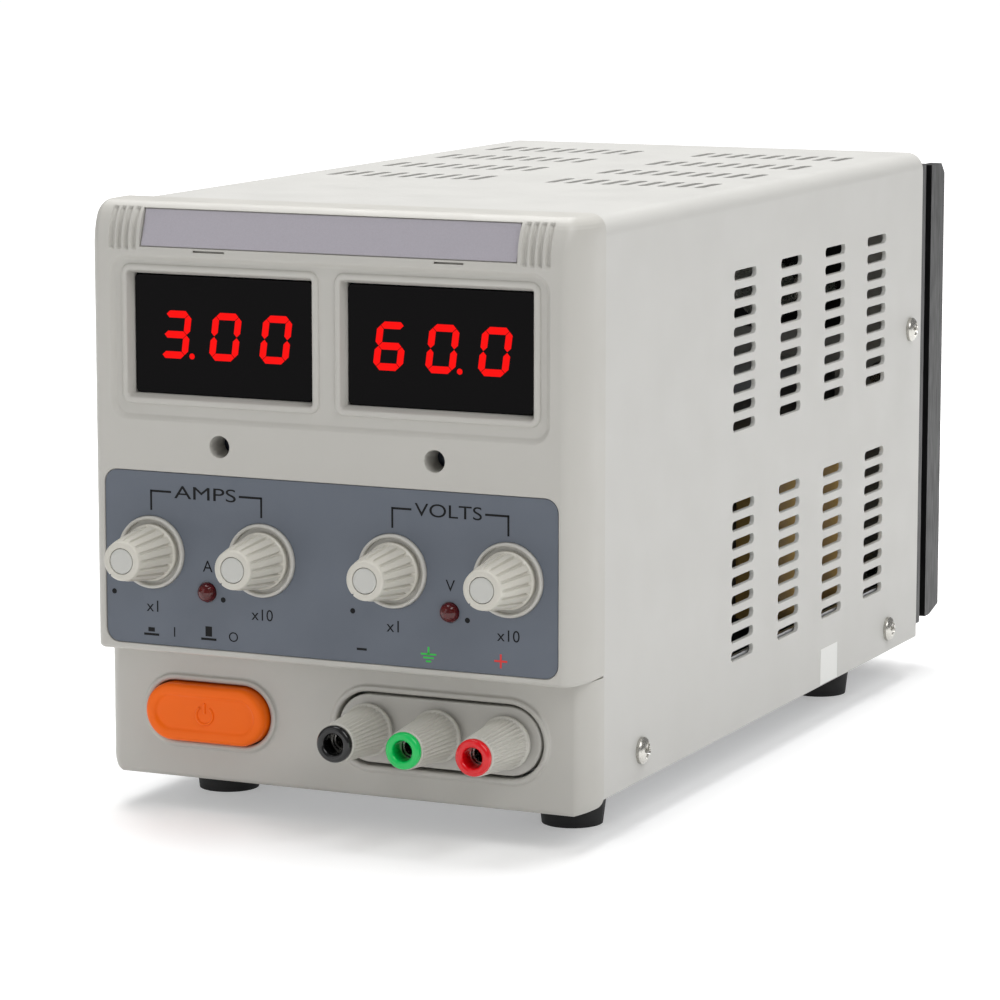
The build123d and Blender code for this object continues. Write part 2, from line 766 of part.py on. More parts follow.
def thumb_nut_at(x):
    """A ribbed cone with a flange at its back, bored for the post and for its ring."""
    cone_back = nut_back - nut_flange
    nut = rod(x, low_row_height, nut_flange_radius, nut_back, cone_back)
    nut += rod(x, low_row_height, nut_flange_radius - rib_depth, cone_back, nut_front,
               nut_front_radius)
    slope = (nut_flange_radius - nut_front_radius) / (nut_length - nut_flange)
    for i in range(nut_ribs):
        turn = Pos(x, 0, low_row_height) * Rot(0, i * 360 / nut_ribs, 0)
        lean = Rot(degrees_of(slope), 0, 0)
        radius = (nut_flange_radius + nut_front_radius) / 2
        nut -= turn * Pos(0, (cone_back + nut_front) / 2, radius) * lean * Box(
            rib_width, nut_length, 2 * rib_depth)
    nut -= rod(x, low_row_height, post_radius + thread_fit, nut_front, nut_back)
    nut -= rod(x, low_row_height, ring_stem_radius + thread_fit, nut_front,
               nut_front + ring_stem_length + ring_gap)
    return nut


def ring_at(x):
    """The coloured ring in front of a thumb nut, on a stem that the nut turns round."""
    ring_back = nut_front - ring_gap
    ring = rod(x, low_row_height, ring_radius, ring_back - ring_thickness, ring_back)
    ring += rod(x, low_row_height, ring_stem_radius, ring_back, nut_front + ring_stem_length)
    return ring - rod(x, low_row_height, ring_bore, ring_back - ring_thickness,
                      nut_front + ring_stem_length)


for name, x in zip(terminal_names, terminal_xs):
    nodes[f"{name}_thumb_nut"] = thumb_nut_at(x)
    nodes[f"{name}_ring"] = ring_at(x)

# ---- transformer ------------------------------------------------------------------------------------------------
core_x = (transformer_x - core_stack / 2, transformer_x + core_stack / 2)
core_y = (transformer_y - core_length / 2, transformer_y + core_length / 2)
core_low = pan_top + bracket_sheet
core_z = (core_low, core_low + core_height)
core = block(*core_x, *core_y, *core_z)
window_length = (core_length - core_middle - 2 * core_limb) / 2
coil_low = core_z[0] + core_limb
coil_high = core_z[1] - core_limb
for side in (-1, 1):
    near = transformer_y + side * core_middle / 2
    core -= block(*core_x, near, near + side * window_length, coil_low, coil_high)
nodes["transformer_core"] = core
coil_half = core_middle / 2 + window_length - coil_clearance
coil = block(core_x[0] - coil_overhang, core_x[1] + coil_overhang, transformer_y - coil_half,
             transformer_y + coil_half, coil_low + coil_clearance, coil_high - coil_clearance)
coil -= block(core_x[0], core_x[1], transformer_y - core_middle / 2,
              transformer_y + core_middle / 2, coil_low, coil_high)
nodes["transformer_coil"] = coil

strap = (transformer_x - bracket_strap / 2, transformer_x + bracket_strap / 2)
bracket_y = (core_y[0] - bracket_sheet, core_y[1] + bracket_sheet)
bracket = block(*strap, *bracket_y, core_z[1], core_z[1] + bracket_sheet)
bracket += block(*strap, *bracket_y, pan_top, core_low)
for side, y in zip((-1, 1), bracket_y):
    bracket += block(*strap, y, y - side * bracket_sheet, pan_top, core_z[1] + bracket_sheet)
bracket += block(*strap, bracket_y[0] - bracket_foot, bracket_y[0], pan_top, core_low)
bolts = []
bolt_y = bracket_y[0] - bracket_foot / 2
for side in (-1, 1):
    x = transformer_x + side * bracket_strap / 3
    bracket -= post(x, bolt_y, transformer_bolt_radius, pan_top, core_low)
    bolt = post(x, bolt_y, transformer_bolt_radius - cap_fit, pan_top, core_low)
    bolts.append(bolt + post(x, bolt_y, 2 * transformer_bolt_radius, core_low, core_low + 3))
nodes["transformer_bracket"] = bracket
nodes["transformer_bolts"] = Compound(children=bolts)

# ---- main board and what stands on it --------------------------------------------------------------------------------
half_main = main_board_width / 2
board_low = pan_top + standoff_height
board_top = board_low + board_thickness
nodes["main_board"] = block(-half_main, half_main, main_board_y0 + 16, main_board_y1,
                            board_low, board_top)
standoffs = []
for x in (-half_main + standoff_inset, half_main - standoff_inset):
    for y in (main_board_y0 + 16 + standoff_inset, main_board_y1 - standoff_inset):
        standoffs.append(post(x, y, standoff_radius, pan_top, board_low))
nodes["board_standoffs"] = Compound(children=standoffs)
nodes["filter_capacitors"] = Compound(children=[
    post(x, capacitor_y, capacitor_radius, board_top, board_top + capacitor_height)
    for x in capacitor_x])
rectifier_half = rectifier_size / 2
nodes["bridge_rectifier"] = block(rectifier_x - rectifier_half, rectifier_x + rectifier_half,
                                  rectifier_y - rectifier_half, rectifier_y + rectifier_half,
                                  board_top, board_top + rectifier_height)

# ---- heat sink, power transistors and their screws ---------------------------------------------------------------------
fin_front = sink_front + sink_base
sink = block(sink_left, sink_right, sink_front, fin_front, sink_low, sink_high)
fin_low = sink_low + sink_fin_inset
fin_high = sink_high - sink_fin_inset
fin_step = (sink_right - sink_left - 2 * sink_fin - sink_fin) / (sink_fins - 1)
for x in row(sink_left + sink_fin, fin_step, sink_fins):
    sink += block(x, x + sink_fin, fin_front, sink_back, fin_low, fin_high)
for x in (sink_left, sink_right - sink_fin):
    sink += block(x, x + sink_fin, sink_back - sink_end_lip, sink_back, fin_low, fin_high)
bottom_cut, bottom_rise = sink_bottom_cut
corner_cut = make_face(Polyline((sink_back - bottom_cut, fin_low - 1), (sink_back + 1, fin_low - 1),
                                (sink_back + 1, fin_low + bottom_rise),
                                (sink_back, fin_low + bottom_rise),
                                (sink_back - bottom_cut, fin_low), close=True))
side_view = Plane(origin=(0, 0, 0), x_dir=(0, 1, 0), z_dir=(1, 0, 0))
sink -= extrude(side_view * corner_cut, amount=cover_width, both=True)
top_cut = make_face(Polyline((sink_back - sink_top_round, fin_high + 1),
                             (sink_back + 1, fin_high + 1),
                             (sink_back + 1, fin_high - sink_top_round),
                             (sink_back, fin_high - sink_top_round),
                             (sink_back - sink_top_round, fin_high), close=True))
sink -= extrude(side_view * top_cut, amount=cover_width, both=True)
for x in sink_screw_xs:
    for z in sink_screw_zs:
        sink -= rod(x, z, sink_screw_radius, sink_front, sink_front + sink_base - 1)
nodes["heat_sink"] = sink

transistors = []
for z in transistor_heights:
    body = facing(SlotOverall(transistor_pitch + 9, 9), transistor_x, z,
                  sink_front - transistor_base, sink_front)
    body += rod(transistor_x, z, transistor_can_radius, sink_front - transistor_base
                - transistor_can, sink_front)
    transistors.append(body)
nodes["power_transistors"] = Compound(children=transistors)
sink_screws = []
for x in sink_screw_xs:
    for z in sink_screw_zs:
        head = rod(x, z, 1.9 * sink_screw_radius, panel_front - 2.4, panel_front)
        sink_screws.append(head + rod(x, z, sink_screw_radius - cap_fit, panel_front - 1,
                                      sink_front + sink_base - 2))
nodes["heat_sink_screws"] = Compound(children=sink_screws)

# ---- mains inlet, fuse and voltage selector -----------------------------------------------------------------------------
flange_back = cover_back + inlet_flange
inlet = rounded(inlet_width, inlet_body_height, inlet_corner, service_x, inlet_height,
                cover_back - inlet_depth, cover_back)
inlet += rounded(inlet_flange_width / 1.28, inlet_flange_height, inlet_corner, service_x,
                 inlet_height, cover_back, flange_back)
cavity_front = flange_back - cavity_depth
inlet -= rounded(cavity_width, cavity_height, inlet_corner / 2, service_x, inlet_height,
                 cavity_front, flange_back)
pins = [(-pin_spacing / 2, -pin_offset), (0.0, pin_offset), (pin_spacing / 2, -pin_offset)]
for dx, dz in pins:
    inlet += block(service_x + dx - pin_thick / 2, service_x + dx + pin_thick / 2,
                   cavity_front, cavity_front + pin_length,
                   inlet_height + dz - pin_wide / 2, inlet_height + dz + pin_wide / 2)
nodes["mains_inlet"] = inlet

fuse_back = cover_back + fuse_flange
holder = rod(service_x, fuse_height, fuse_body_radius, fuse_back - fuse_body_length, cover_back)
holder += rod(service_x, fuse_height, fuse_flange_radius, cover_back, fuse_back)
holder -= rod(service_x, fuse_height, fuse_bore, fuse_back - fuse_body_length + 2, fuse_back)
nodes["fuse_holder"] = holder
cap_front = fuse_back + fuse_cap_gap
fuse_cap = rod(service_x, fuse_height, fuse_cap_radius, cap_front, cap_front + fuse_cap_length)
fuse_cap += rod(service_x, fuse_height, fuse_cap_stem_radius, cap_front - fuse_cap_stem,
                cap_front)
fuse_cap -= block(service_x - fuse_cap_radius / 2, service_x + fuse_cap_radius / 2,
                  cap_front + fuse_cap_length - 1, cap_front + fuse_cap_length,
                  fuse_height - 0.7, fuse_height + 0.7)
nodes["fuse_cap"] = fuse_cap

selector_back = cover_back + selector_flange
selector = block(service_x - selector_width / 2, service_x + selector_width / 2,
                 selector_back - selector_depth, cover_back,
                 selector_height - selector_body_height / 2,
                 selector_height + selector_body_height / 2)
selector += rounded(selector_flange_width, selector_flange_height, 2, service_x,
                    selector_height, cover_back, selector_back)
selector -= block(service_x - selector_slot_width / 2, service_x + selector_slot_width / 2,
                  selector_back - selector_slot_depth, selector_back,
                  selector_height - selector_slot_height / 2,
                  selector_height + selector_slot_height / 2)
nodes["voltage_selector"] = selector
key_x = service_x + selector_travel / 2
key_half = selector_key / 2
key_height = selector_slot_height / 2 - selector_fit
slot_floor = selector_back - selector_slot_depth
nodes["selector_key"] = block(key_x - key_half, key_x + key_half, slot_floor + selector_fit,
                              slot_floor + selector_fit + selector_key_thickness,
                              selector_height - key_height, selector_height + key_height)

# ---- feet, screws and label ------------------------------------------------------------------------------------------------
feet = []
foot_screws = []
for y in foot_y:
    for side in (-1, 1):
        x = side * foot_x
        foot = post(x, y, foot_bottom_radius, 0, foot_height, foot_top_radius)
        foot -= post(x, y, foot_counterbore, 0, foot_counterbore_depth)
        foot -= post(x, y, screw_shank + foot_hole_clearance, 0, foot_height)
        feet.append(foot)
        head_low = foot_counterbore_depth - screw_head_height
        foot_screw = post(x, y, screw_head, head_low, foot_counterbore_depth)
        foot_screw += post(x, y, screw_shank, foot_counterbore_depth, pan_top + sheet)
        foot_screws.append(foot_screw)
nodes["rubber_feet"] = Compound(children=feet)
nodes["foot_screws"] = Compound(children=foot_screws)

cover_screws = []
for y, z in side_screws:
    for side in (-1, 1):
        head = side_rod(side * half_cover, side * (half_cover + screw_head_height), y, z,
                        screw_head)
        shank = side_rod(side * (half_cover - screw_bite), side * half_cover, y, z,
                         screw_shank - cap_fit)
        cover_screws.append(head + shank)
nodes["cover_screws"] = Compound(children=cover_screws)

bezel_screws = []
for z in bezel_screw_heights:
    for side in (-1, 1):
        x = side * bezel_screw_spacing / 2
        head = rod(x, z, bezel_screw_head, frame_back, frame_back + screw_head_height)
        bezel_screws.append(head + rod(x, z, bezel_screw_shank, frame_back - screw_bite,
                                       frame_back))
nodes["bezel_screws"] = Compound(children=bezel_screws)
nodes["side_label"] = block(half_cover, half_cover + label_thickness, label_y,
                            label_y + label_width, label_low, label_low + label_height)

os.makedirs("parts", exist_ok=True)
for name, shape in nodes.items():
    export_step(Pos(0, to_origin, 0) * shape, f"parts/{name}.step")
print(len(nodes), "nodes; origin at Y", -to_origin, "of the front frame")
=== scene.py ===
import json
import bmesh
import bpy
import numpy as np
from math import cos, pi, radians, sin
from mathutils import Euler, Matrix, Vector
from mathutils.geometry import delaunay_2d_cdt


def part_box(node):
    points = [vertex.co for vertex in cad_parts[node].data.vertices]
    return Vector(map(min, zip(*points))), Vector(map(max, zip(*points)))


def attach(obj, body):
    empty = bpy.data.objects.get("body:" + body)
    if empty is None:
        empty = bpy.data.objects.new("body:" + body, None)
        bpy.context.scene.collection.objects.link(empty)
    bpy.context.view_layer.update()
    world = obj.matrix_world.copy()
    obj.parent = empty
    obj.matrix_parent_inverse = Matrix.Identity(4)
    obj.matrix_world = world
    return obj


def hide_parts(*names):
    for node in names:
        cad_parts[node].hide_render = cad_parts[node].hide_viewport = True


# Bench power supply.  Shapes are worked out in millimetres, with Y counted from the upper
# front face of the bezel and Z from the table, and become metres in the shared frame when
# a piece is made.

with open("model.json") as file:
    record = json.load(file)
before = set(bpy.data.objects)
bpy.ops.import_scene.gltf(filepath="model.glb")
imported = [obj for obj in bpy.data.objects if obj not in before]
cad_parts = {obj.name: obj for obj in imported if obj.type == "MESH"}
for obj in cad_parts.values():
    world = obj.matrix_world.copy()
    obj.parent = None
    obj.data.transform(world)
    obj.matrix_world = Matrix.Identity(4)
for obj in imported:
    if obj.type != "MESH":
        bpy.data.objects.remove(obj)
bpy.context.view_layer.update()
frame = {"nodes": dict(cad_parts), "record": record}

MM = 0.001
BEZEL_DEPTH = 17.1
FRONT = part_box("front_bezel")[1][1] / MM - BEZEL_DEPTH


def box_mm(node):
    """A node's lowest and highest corners in millimetres, Y counted from the front face."""
    low, high = (np.array(corner, float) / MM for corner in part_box(node))
    shift = np.array([0.0, FRONT, 0.0])
    return low - shift, high - shift


def middle(node):
    """The middle of a node's box, in millimetres."""
    low, high = box_mm(node)
    return (low + high) / 2


# ---- meshes ---------------------------------------------------------------------------

def quads(rows, columns, closed=False):
    """The faces of a grid of points: each joins two neighbours in two neighbouring rows."""
    r = np.arange(rows - 1)[:, None]
    c = np.arange(columns if closed else columns - 1)[None, :]
    after = (c + 1) % columns
    corners = [r * columns + c, r * columns + after,
               (r + 1) * columns + after, (r + 1) * columns + c]
    return np.stack([np.broadcast_to(k, (rows - 1, c.shape[1])) for k in corners],
                    -1).reshape(-1, 4)


def sheet_of(points, closed=False):
    """A patch from a grid of points, rows by columns by three."""
    rows, columns = points.shape[:2]
    return points.reshape(-1, 3), quads(rows, columns, closed).tolist()


def rounded_outline(width, height, radius, steps=6, x=0.0, z=0.0):
    """Points and outward directions round a rounded rectangle: four quarter circles."""
    angle = np.concatenate([np.linspace(k, k + 90, steps + 1) for k in (0, 90, 180, 270)])
    angle = np.radians(angle)
    sx = np.repeat([1, -1, -1, 1], steps + 1) * (width / 2 - radius)
    sz = np.repeat([1, 1, -1, -1], steps + 1) * (height / 2 - radius)
    out = np.stack([np.cos(angle), np.sin(angle)], 1)
    points = np.stack([x + sx, z + sz], 1) + radius * out
    keep = np.ones(len(points), bool)
    keep[1:] = np.hypot(*(points[1:] - points[:-1]).T) > 1e-6
    keep[0] = np.hypot(*(points[0] - points[-1])) > 1e-6
    return points[keep], out[keep]


def stadium_outline(length, height, steps=12, x=0.0, z=0.0):
    """A rounded rectangle whose ends are half circles."""
    return rounded_outline(length, height, height / 2 - 1e-4, steps, x, z)


def facing_front(u, v, depth):
    """Outline coordinates on the front: u is X, v is Z, depth is Y."""
    return np.stack(np.broadcast_arrays(u, depth, v), -1)


def ring_points(outline, offset, depth, place=facing_front):
    """The outline moved outwards by offset, at a depth."""
    points, out = outline
    moved = points + offset * out
    return place(moved[:, 0], moved[:, 1], depth)


def rim(outline, profile, place=facing_front):
    """A profile of (offset, depth) pairs carried round an outline."""
    rings = np.stack([ring_points(outline, o, d, place) for o, d in profile])
    return sheet_of(rings, closed=True)


def inside_loop(points, loop):
    """Which points lie inside a loop: those whose line to the right crosses it oddly."""
    a, b = loop, np.roll(loop, -1, axis=0)
    u, v = points[:, :1], points[:, 1:]
    spans = (a[None, :, 1] > v) != (b[None, :, 1] > v)
    rise = np.where(b[:, 1] == a[:, 1], 1.0, b[:, 1] - a[:, 1])
    reach = a[:, 0] + (v - a[:, 1]) * (b[:, 0] - a[:, 0]) / rise
    return (spans & (u < reach)).sum(axis=1) % 2 == 1


def fill(outer, holes=(), depth=0.0, place=facing_front):
    """The flat region inside one loop and outside the others, in triangles."""
    loops = [outer, *holes]
    edges = []
    start = 0
    for loop in loops:
        count = len(loop)
        edges += [(start + i, start + (i + 1) % count) for i in range(count)]
        start += count
    flat = [Vector(p) for p in np.vstack(loops).tolist()]
    points, _, faces, *_ = delaunay_2d_cdt(flat, edges, [], 1, 1e-6)
    uv = np.array([tuple(p) for p in points])
    faces = np.array([list(f) for f in faces])
    centres = uv[faces].mean(axis=1)
    keep = np.ones(len(faces), bool)
    for hole in holes:
        keep &= ~inside_loop(centres, np.asarray(hole))
    return place(uv[:, 0], uv[:, 1], depth), faces[keep].tolist()


def moved_loop(outline, offset):
    """The outline's points moved outwards by offset."""
    points, out = outline
    return points + offset * out


def lathe(profile, x, z, steps=64, radius_at=None):
    """A profile of (radius, Y) pairs turned about an axis along Y through (x, z).

    radius_at(angle, radius, depth) may change the radius round the turn.
    """
    angle = np.linspace(0, 2 * pi, steps, endpoint=False)[None, :]
    radius, depth = (np.array(k, float)[:, None] for k in zip(*profile))
    radius = radius + 0 * angle
    depth = depth + 0 * angle
    if radius_at:
        radius = radius_at(angle, radius, depth)
    points = np.stack([x + radius * np.sin(angle), depth, z + radius * np.cos(angle)], -1)
    return sheet_of(points, closed=True)


def sunk(points, cells, moved):
    """A grid surface whose marked cells lie at `moved` instead, with walls between."""
    rows, columns = points.shape[:2]
    faces = quads(rows, columns).reshape(rows - 1, columns - 1, 4)
    top = faces[~cells]
    floor = faces[cells] + rows * columns
    padded = np.pad(cells, 1)
    inside = padded[1:-1, 1:-1]
    walls = []
    for shift_r, shift_c, a, b in ((-1, 0, 0, 1), (1, 0, 2, 3), (0, -1, 3, 0), (0, 1, 1, 2)):
        other = padded[1 + shift_r:rows + shift_r, 1 + shift_c:columns + shift_c]
        edge = faces[inside & ~other]
        walls.append(np.stack([edge[:, a], edge[:, b], edge[:, b] + rows * columns,
                               edge[:, a] + rows * columns], 1))
    both = np.vstack([points.reshape(-1, 3), moved.reshape(-1, 3)])
    return both, np.vstack([top, floor, *walls]).tolist()


def make_piece(name, patches, finish, body, replaced=(), sharp=38.0, outward=True):
    """Joins patches into one mesh, welds their seams, and hangs the piece on its body, hiding
    the CAD parts it replaces.
    """
    points = []
    faces = []
    start = 0
    for patch_points, patch_faces in patches:
        points.append(patch_points)
        faces += [[start + i for i in face] for face in patch_faces]
        start += len(patch_points)
    metres = (np.vstack(points) + [0.0, FRONT, 0.0]) * MM
    mesh = bpy.data.meshes.new(name)
    mesh.from_pydata(metres.tolist(), [], faces)
    work = bmesh.new()
    work.from_mesh(mesh)
    bmesh.ops.remove_doubles(work, verts=work.verts, dist=1e-6)
    bmesh.ops.dissolve_degenerate(work, edges=work.edges, dist=1e-7)
    loose = [v for v in work.verts if not v.link_faces]
    bmesh.ops.delete(work, geom=loose, context="VERTS")
    if outward:
        bmesh.ops.recalc_face_normals(work, faces=work.faces)
        centre = Vector(metres.mean(axis=0))
        side = sum((f.calc_center_median() - centre).dot(f.normal) * f.calc_area()
                   for f in work.faces)
        if side < 0:
            bmesh.ops.reverse_faces(work, faces=work.faces)
    work.to_mesh(mesh)
    work.free()
    mesh.polygons.foreach_set("use_smooth", [True] * len(mesh.polygons))
    mesh.set_sharp_from_angle(angle=radians(sharp))
    made = bpy.data.objects.new(name, mesh)
    bpy.context.scene.collection.objects.link(made)
    mesh.materials.append(finish.material)
    weighted = made.modifiers.new("even normals", "WEIGHTED_NORMAL")
    weighted.keep_sharp = True
    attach(made, body)
    if replaced:
        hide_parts(*replaced)
    return made


# ---- finishes -------------------------------------------------------------------------

def linear(red, green, blue):
    """An 8-bit screen colour as the linear colour that a shader takes."""
    c = np.array([red, green, blue]) / 255
    value = np.where(c <= 0.04045, c / 12.92, ((c + 0.055) / 1.055) ** 2.4)
    return (*value.tolist(), 1.0)


class Finish:
    """A node material on Object coordinates: tone, roughness and relief from patterns."""

    def __init__(self, name, colour, roughness=0.5, metallic=0.0):
        """A plain shader with its even values, and the place that patterns read."""
        self.material = bpy.data.materials.new(name)
        self.material.use_nodes = True
        self.nodes = self.material.node_tree.nodes
        self.link = self.material.node_tree.links.new
        self.shader = self.nodes["Principled BSDF"]
        self.colour = linear(*colour)
        self.shader.inputs["Base Color"].default_value = self.colour
        self.shader.inputs["Roughness"].default_value = roughness
        self.shader.inputs["Metallic"].default_value = metallic
        self.roughness = roughness
        self.place = self.nodes.new("ShaderNodeTexCoord").outputs["Object"]
        self.normal = None

    def noise(self, size_mm, detail=3.0, stretch=(1, 1, 1)):
        """A cloud pattern whose patches are about size_mm across."""
        turn = self.nodes.new("ShaderNodeMapping")
        turn.inputs["Scale"].default_value = stretch
        self.link(self.place, turn.inputs["Vector"])
        cloud = self.nodes.new("ShaderNodeTexNoise")
        cloud.inputs["Scale"].default_value = 1 / (size_mm * MM)
        cloud.inputs["Detail"].default_value = detail
        self.link(turn.outputs["Vector"], cloud.inputs["Vector"])
        return cloud.outputs["Fac"]

    def tone(self, pattern, amount, tint=(1, 1, 1)):
        """Colour that wanders lighter and darker by amount, towards a tint."""
        mix = self.nodes.new("ShaderNodeMix")
        mix.data_type = "RGBA"
        self.link(pattern, mix.inputs["Factor"])
        dark = [c * (1 - amount) for c in self.colour[:3]]
        light = [min(1.0, c * (1 + amount) * t) for c, t in zip(self.colour[:3], tint)]
        mix.inputs["A"].default_value = (*dark, 1)
        mix.inputs["B"].default_value = (*light, 1)
        self.link(mix.outputs["Result"], self.shader.inputs["Base Color"])
        return self

    def gloss(self, pattern, spread):
        """Roughness that wanders by spread either side of its middle value."""
        ramp = self.nodes.new("ShaderNodeMapRange")
        ramp.inputs["From Min"].default_value = 0.3
        ramp.inputs["From Max"].default_value = 0.7
        ramp.inputs["To Min"].default_value = max(0.02, self.roughness - spread)
        ramp.inputs["To Max"].default_value = self.roughness + spread
        self.link(pattern, ramp.inputs["Value"])
        self.link(ramp.outputs["Result"], self.shader.inputs["Roughness"])
        return self

    def relief(self, pattern, height_mm, strength=1.0):
        """Bumps of about height_mm from a pattern."""
        bump = self.nodes.new("ShaderNodeBump")
        bump.inputs["Distance"].default_value = height_mm * MM
        bump.inputs["Strength"].default_value = strength
        self.link(pattern, bump.inputs["Height"])
        if self.normal:
            self.link(self.normal, bump.inputs["Normal"])
        self.normal = bump.outputs["Normal"]
        self.link(self.normal, self.shader.inputs["Normal"])
        return self

    def set(self, **values):
        """Values that are the same all over, set on the shader itself."""
        for key, value in values.items():
            self.shader.inputs[key.replace("_", " ")].default_value = value
        return self


def plastic(name, colour, roughness=0.45, grain_mm=0.35, grain=0.012, vary=0.03):
    """Moulded plastic: a fine spark-eroded grain, faint clouding and wandering gloss."""
    f = Finish(name, colour, roughness)
    f.tone(f.noise(28, 4), vary)
    f.gloss(f.noise(9, 5), 0.06)
    f.relief(f.noise(grain_mm, 2), grain, 0.6)
    return f


def metal(name, colour, roughness=0.3, stretch=(1, 1, 1), lines_mm=0.4, height=0.004):
    """Worked metal: drawn or cast lines in its gloss and relief."""
    f = Finish(name, colour, roughness, 1.0)
    f.tone(f.noise(6, 5), 0.08)
    f.gloss(f.noise(lines_mm, 3, stretch), 0.08)
    f.relief(f.noise(lines_mm, 3, stretch), height, 0.5)
    return f


BODY_GREY = (198, 197, 193)
bezel_plastic = plastic("bezel plastic", (192, 190, 184), 0.42, 0.3, 0.01)
cover_paint = Finish("cover paint", BODY_GREY, 0.46)
cover_paint.tone(cover_paint.noise(60, 4), 0.02)
cover_paint.gloss(cover_paint.noise(14, 5), 0.05)
cover_paint.relief(cover_paint.noise(1.1, 2), 0.02, 0.35)
cover_paint.relief(cover_paint.noise(0.3, 2), 0.006, 0.5)
fascia_ink = Finish("fascia sheet", (96, 103, 114), 0.52)
fascia_ink.tone(fascia_ink.noise(22, 4), 0.04)
fascia_ink.gloss(fascia_ink.noise(5, 4), 0.05)
fascia_ink.relief(fascia_ink.noise(0.22, 2), 0.008, 0.7)
strip_foil = Finish("strip foil", (168, 164, 172), 0.38, 0.35)
strip_foil.tone(strip_foil.noise(0.35, 4), 0.10)
strip_foil.gloss(strip_foil.noise(0.6, 4), 0.10)
strip_foil.relief(strip_foil.noise(0.25, 3), 0.006, 0.6)
window_tint = Finish("window tint", (4, 3, 4), 0.10)
window_tint.set(Specular_IOR_Level=0.06)
window_tint.gloss(window_tint.noise(24, 4), 0.02)
window_tint.relief(window_tint.noise(40, 2), 0.01, 0.3)
knob_plastic = plastic("knob plastic", (206, 203, 193), 0.40, 0.25, 0.006, 0.02)
cap_plastic = plastic("cap plastic", (197, 197, 192), 0.38, 0.3, 0.004, 0.02)
nut_plastic = plastic("nut plastic", (198, 196, 188), 0.42, 0.25, 0.006, 0.02)
orange_plastic = plastic("button plastic", (255, 108, 0), 0.38, 0.4, 0.006, 0.03)
orange_plastic.set(Specular_IOR_Level=0.25)
black_gloss = plastic("black ring", (16, 16, 17), 0.16, 0.4, 0.003, 0.10)
green_gloss = plastic("green ring", (0, 196, 92), 0.20, 0.4, 0.003, 0.04)
red_gloss = plastic("red ring", (222, 8, 22), 0.18, 0.4, 0.003, 0.04)
nickel = metal("nickel", (196, 194, 188), 0.24)
zinc = metal("zinc steel", (178, 180, 182), 0.36, (1, 0.2, 1), 1.5, 0.01)
ink_black = plastic("black print", (14, 14, 16), 0.6, 0.2, 0.003, 0.05)
ink_black.set(Specular_IOR_Level=0.2)
ink_green = plastic("green print", (40, 196, 66), 0.5, 0.2, 0.003, 0.05)
ink_red = plastic("red print", (214, 44, 40), 0.5, 0.2, 0.003, 0.05)
anodised = Finish("black anodised", (20, 20, 21), 0.42, 0.4)
anodised.tone(anodised.noise(8, 4), 0.15)
anodised.gloss(anodised.noise(0.8, 3, (1, 1, 0.1)), 0.08)
anodised.relief(anodised.noise(0.6, 3, (1, 1, 0.06)), 0.015, 0.6)
rubber = plastic("foot rubber", (24, 24, 25), 0.7, 0.5, 0.02, 0.12)
paper = plastic("label paper", (236, 236, 233), 0.6, 0.4, 0.006, 0.02)
board_green = plastic("circuit board", (36, 96, 62), 0.4, 1.2, 0.02, 0.15)
tape = plastic("winding tape", (206, 170, 96), 0.5, 1.5, 0.03, 0.10)
lamination = metal("lamination steel", (104, 106, 110), 0.5, (1, 8, 1), 0.5, 0.03)
sleeve = plastic("capacitor sleeve", (34, 44, 74), 0.35, 0.6, 0.005, 0.06)
brass = metal("brass", (196, 164, 96), 0.3)
blue_plastic = plastic("trimmer plastic", (22, 30, 48), 0.4, 0.4, 0.005, 0.06)
black_plastic = plastic("black plastic", (30, 30, 32), 0.45, 0.4, 0.012, 0.10)
white_plastic = plastic("white plastic", (225, 224, 218), 0.4, 0.4, 0.006, 0.03)
red_plastic = plastic("selector plastic", (186, 34, 28), 0.35, 0.4, 0.005, 0.04)
lens = Finish("lamp lens", (92, 8, 12), 0.08)
lens.tone(lens.noise(1.6, 3), 0.25)
lens.set(Transmission_Weight=0.25, IOR=1.5)
lit = Finish("lit segments", (60, 0, 0), 0.6)
lit.tone(lit.noise(1.2, 3), 0.2)
lit.set(Emission_Color=linear(255, 6, 4), Emission_Strength=0.95, Specular_IOR_Level=0.1)

by_slot = {
    "zinc_steel": zinc, "painted_cover": cover_paint, "circuit_board": board_green,
    "winding_tape": tape, "lamination_steel": lamination, "capacitor_sleeve": sleeve,
    "brass_pillar": brass, "blue_plastic": blue_plastic, "black_plastic": black_plastic,
    "white_plastic": white_plastic, "red_plastic": red_plastic, "nickel": nickel,
    "black_anodised": anodised, "foot_rubber": rubber, "white_label": paper,
    "bezel_plastic": bezel_plastic, "led_digits": white_plastic, "red_lens": lens,
    "orange_plastic": orange_plastic, "knob_plastic": knob_plastic,
    "nut_plastic": nut_plastic, "black_ring": black_gloss, "green_ring": green_gloss,
    "red_ring": red_gloss, "dark_window": window_tint, "fascia_sheet": fascia_ink,
    "strip_foil": strip_foil,
}
for part in frame["record"]["subparts"]:
    held = frame["nodes"][part["node"]]
    finish = by_slot.get(part["material_slot"], black_plastic)
    if part["node"] == "terminal_rear_nuts":
        finish = zinc
    held.data.materials.clear()
    held.data.materials.append(finish.material)


# ---- bezel ----------------------------------------------------------------------------
HALF, FLAT = 68.5, 63.9           # half the width, and where the front corners begin
LOW, TOP = 9.3, 158.6
STEP, LOWER_FACE = 43.4, 7.9
BROW, BROW_DEEP = 147.0, 6.5      # where the brow begins to lean back, and how far it goes
END_ROUND = 4.0                   # corners of the front view
WALL = 2.6
UPPER_CORNER, LOWER_CORNER = 12.0, 8.6   # how far the front corners run back
LIP, BROW_ROWS = 1.0, 146.0       # radius of the lower lip, and where the brow's rows begin
LIP_TOP = STEP + LIP
LOW_FLAT, LOW_EDGE, EDGE_ROUND = 13.3, 10.5, 1.2
SIDE_COLUMNS = 14                 # columns of a level on one side of the flat front


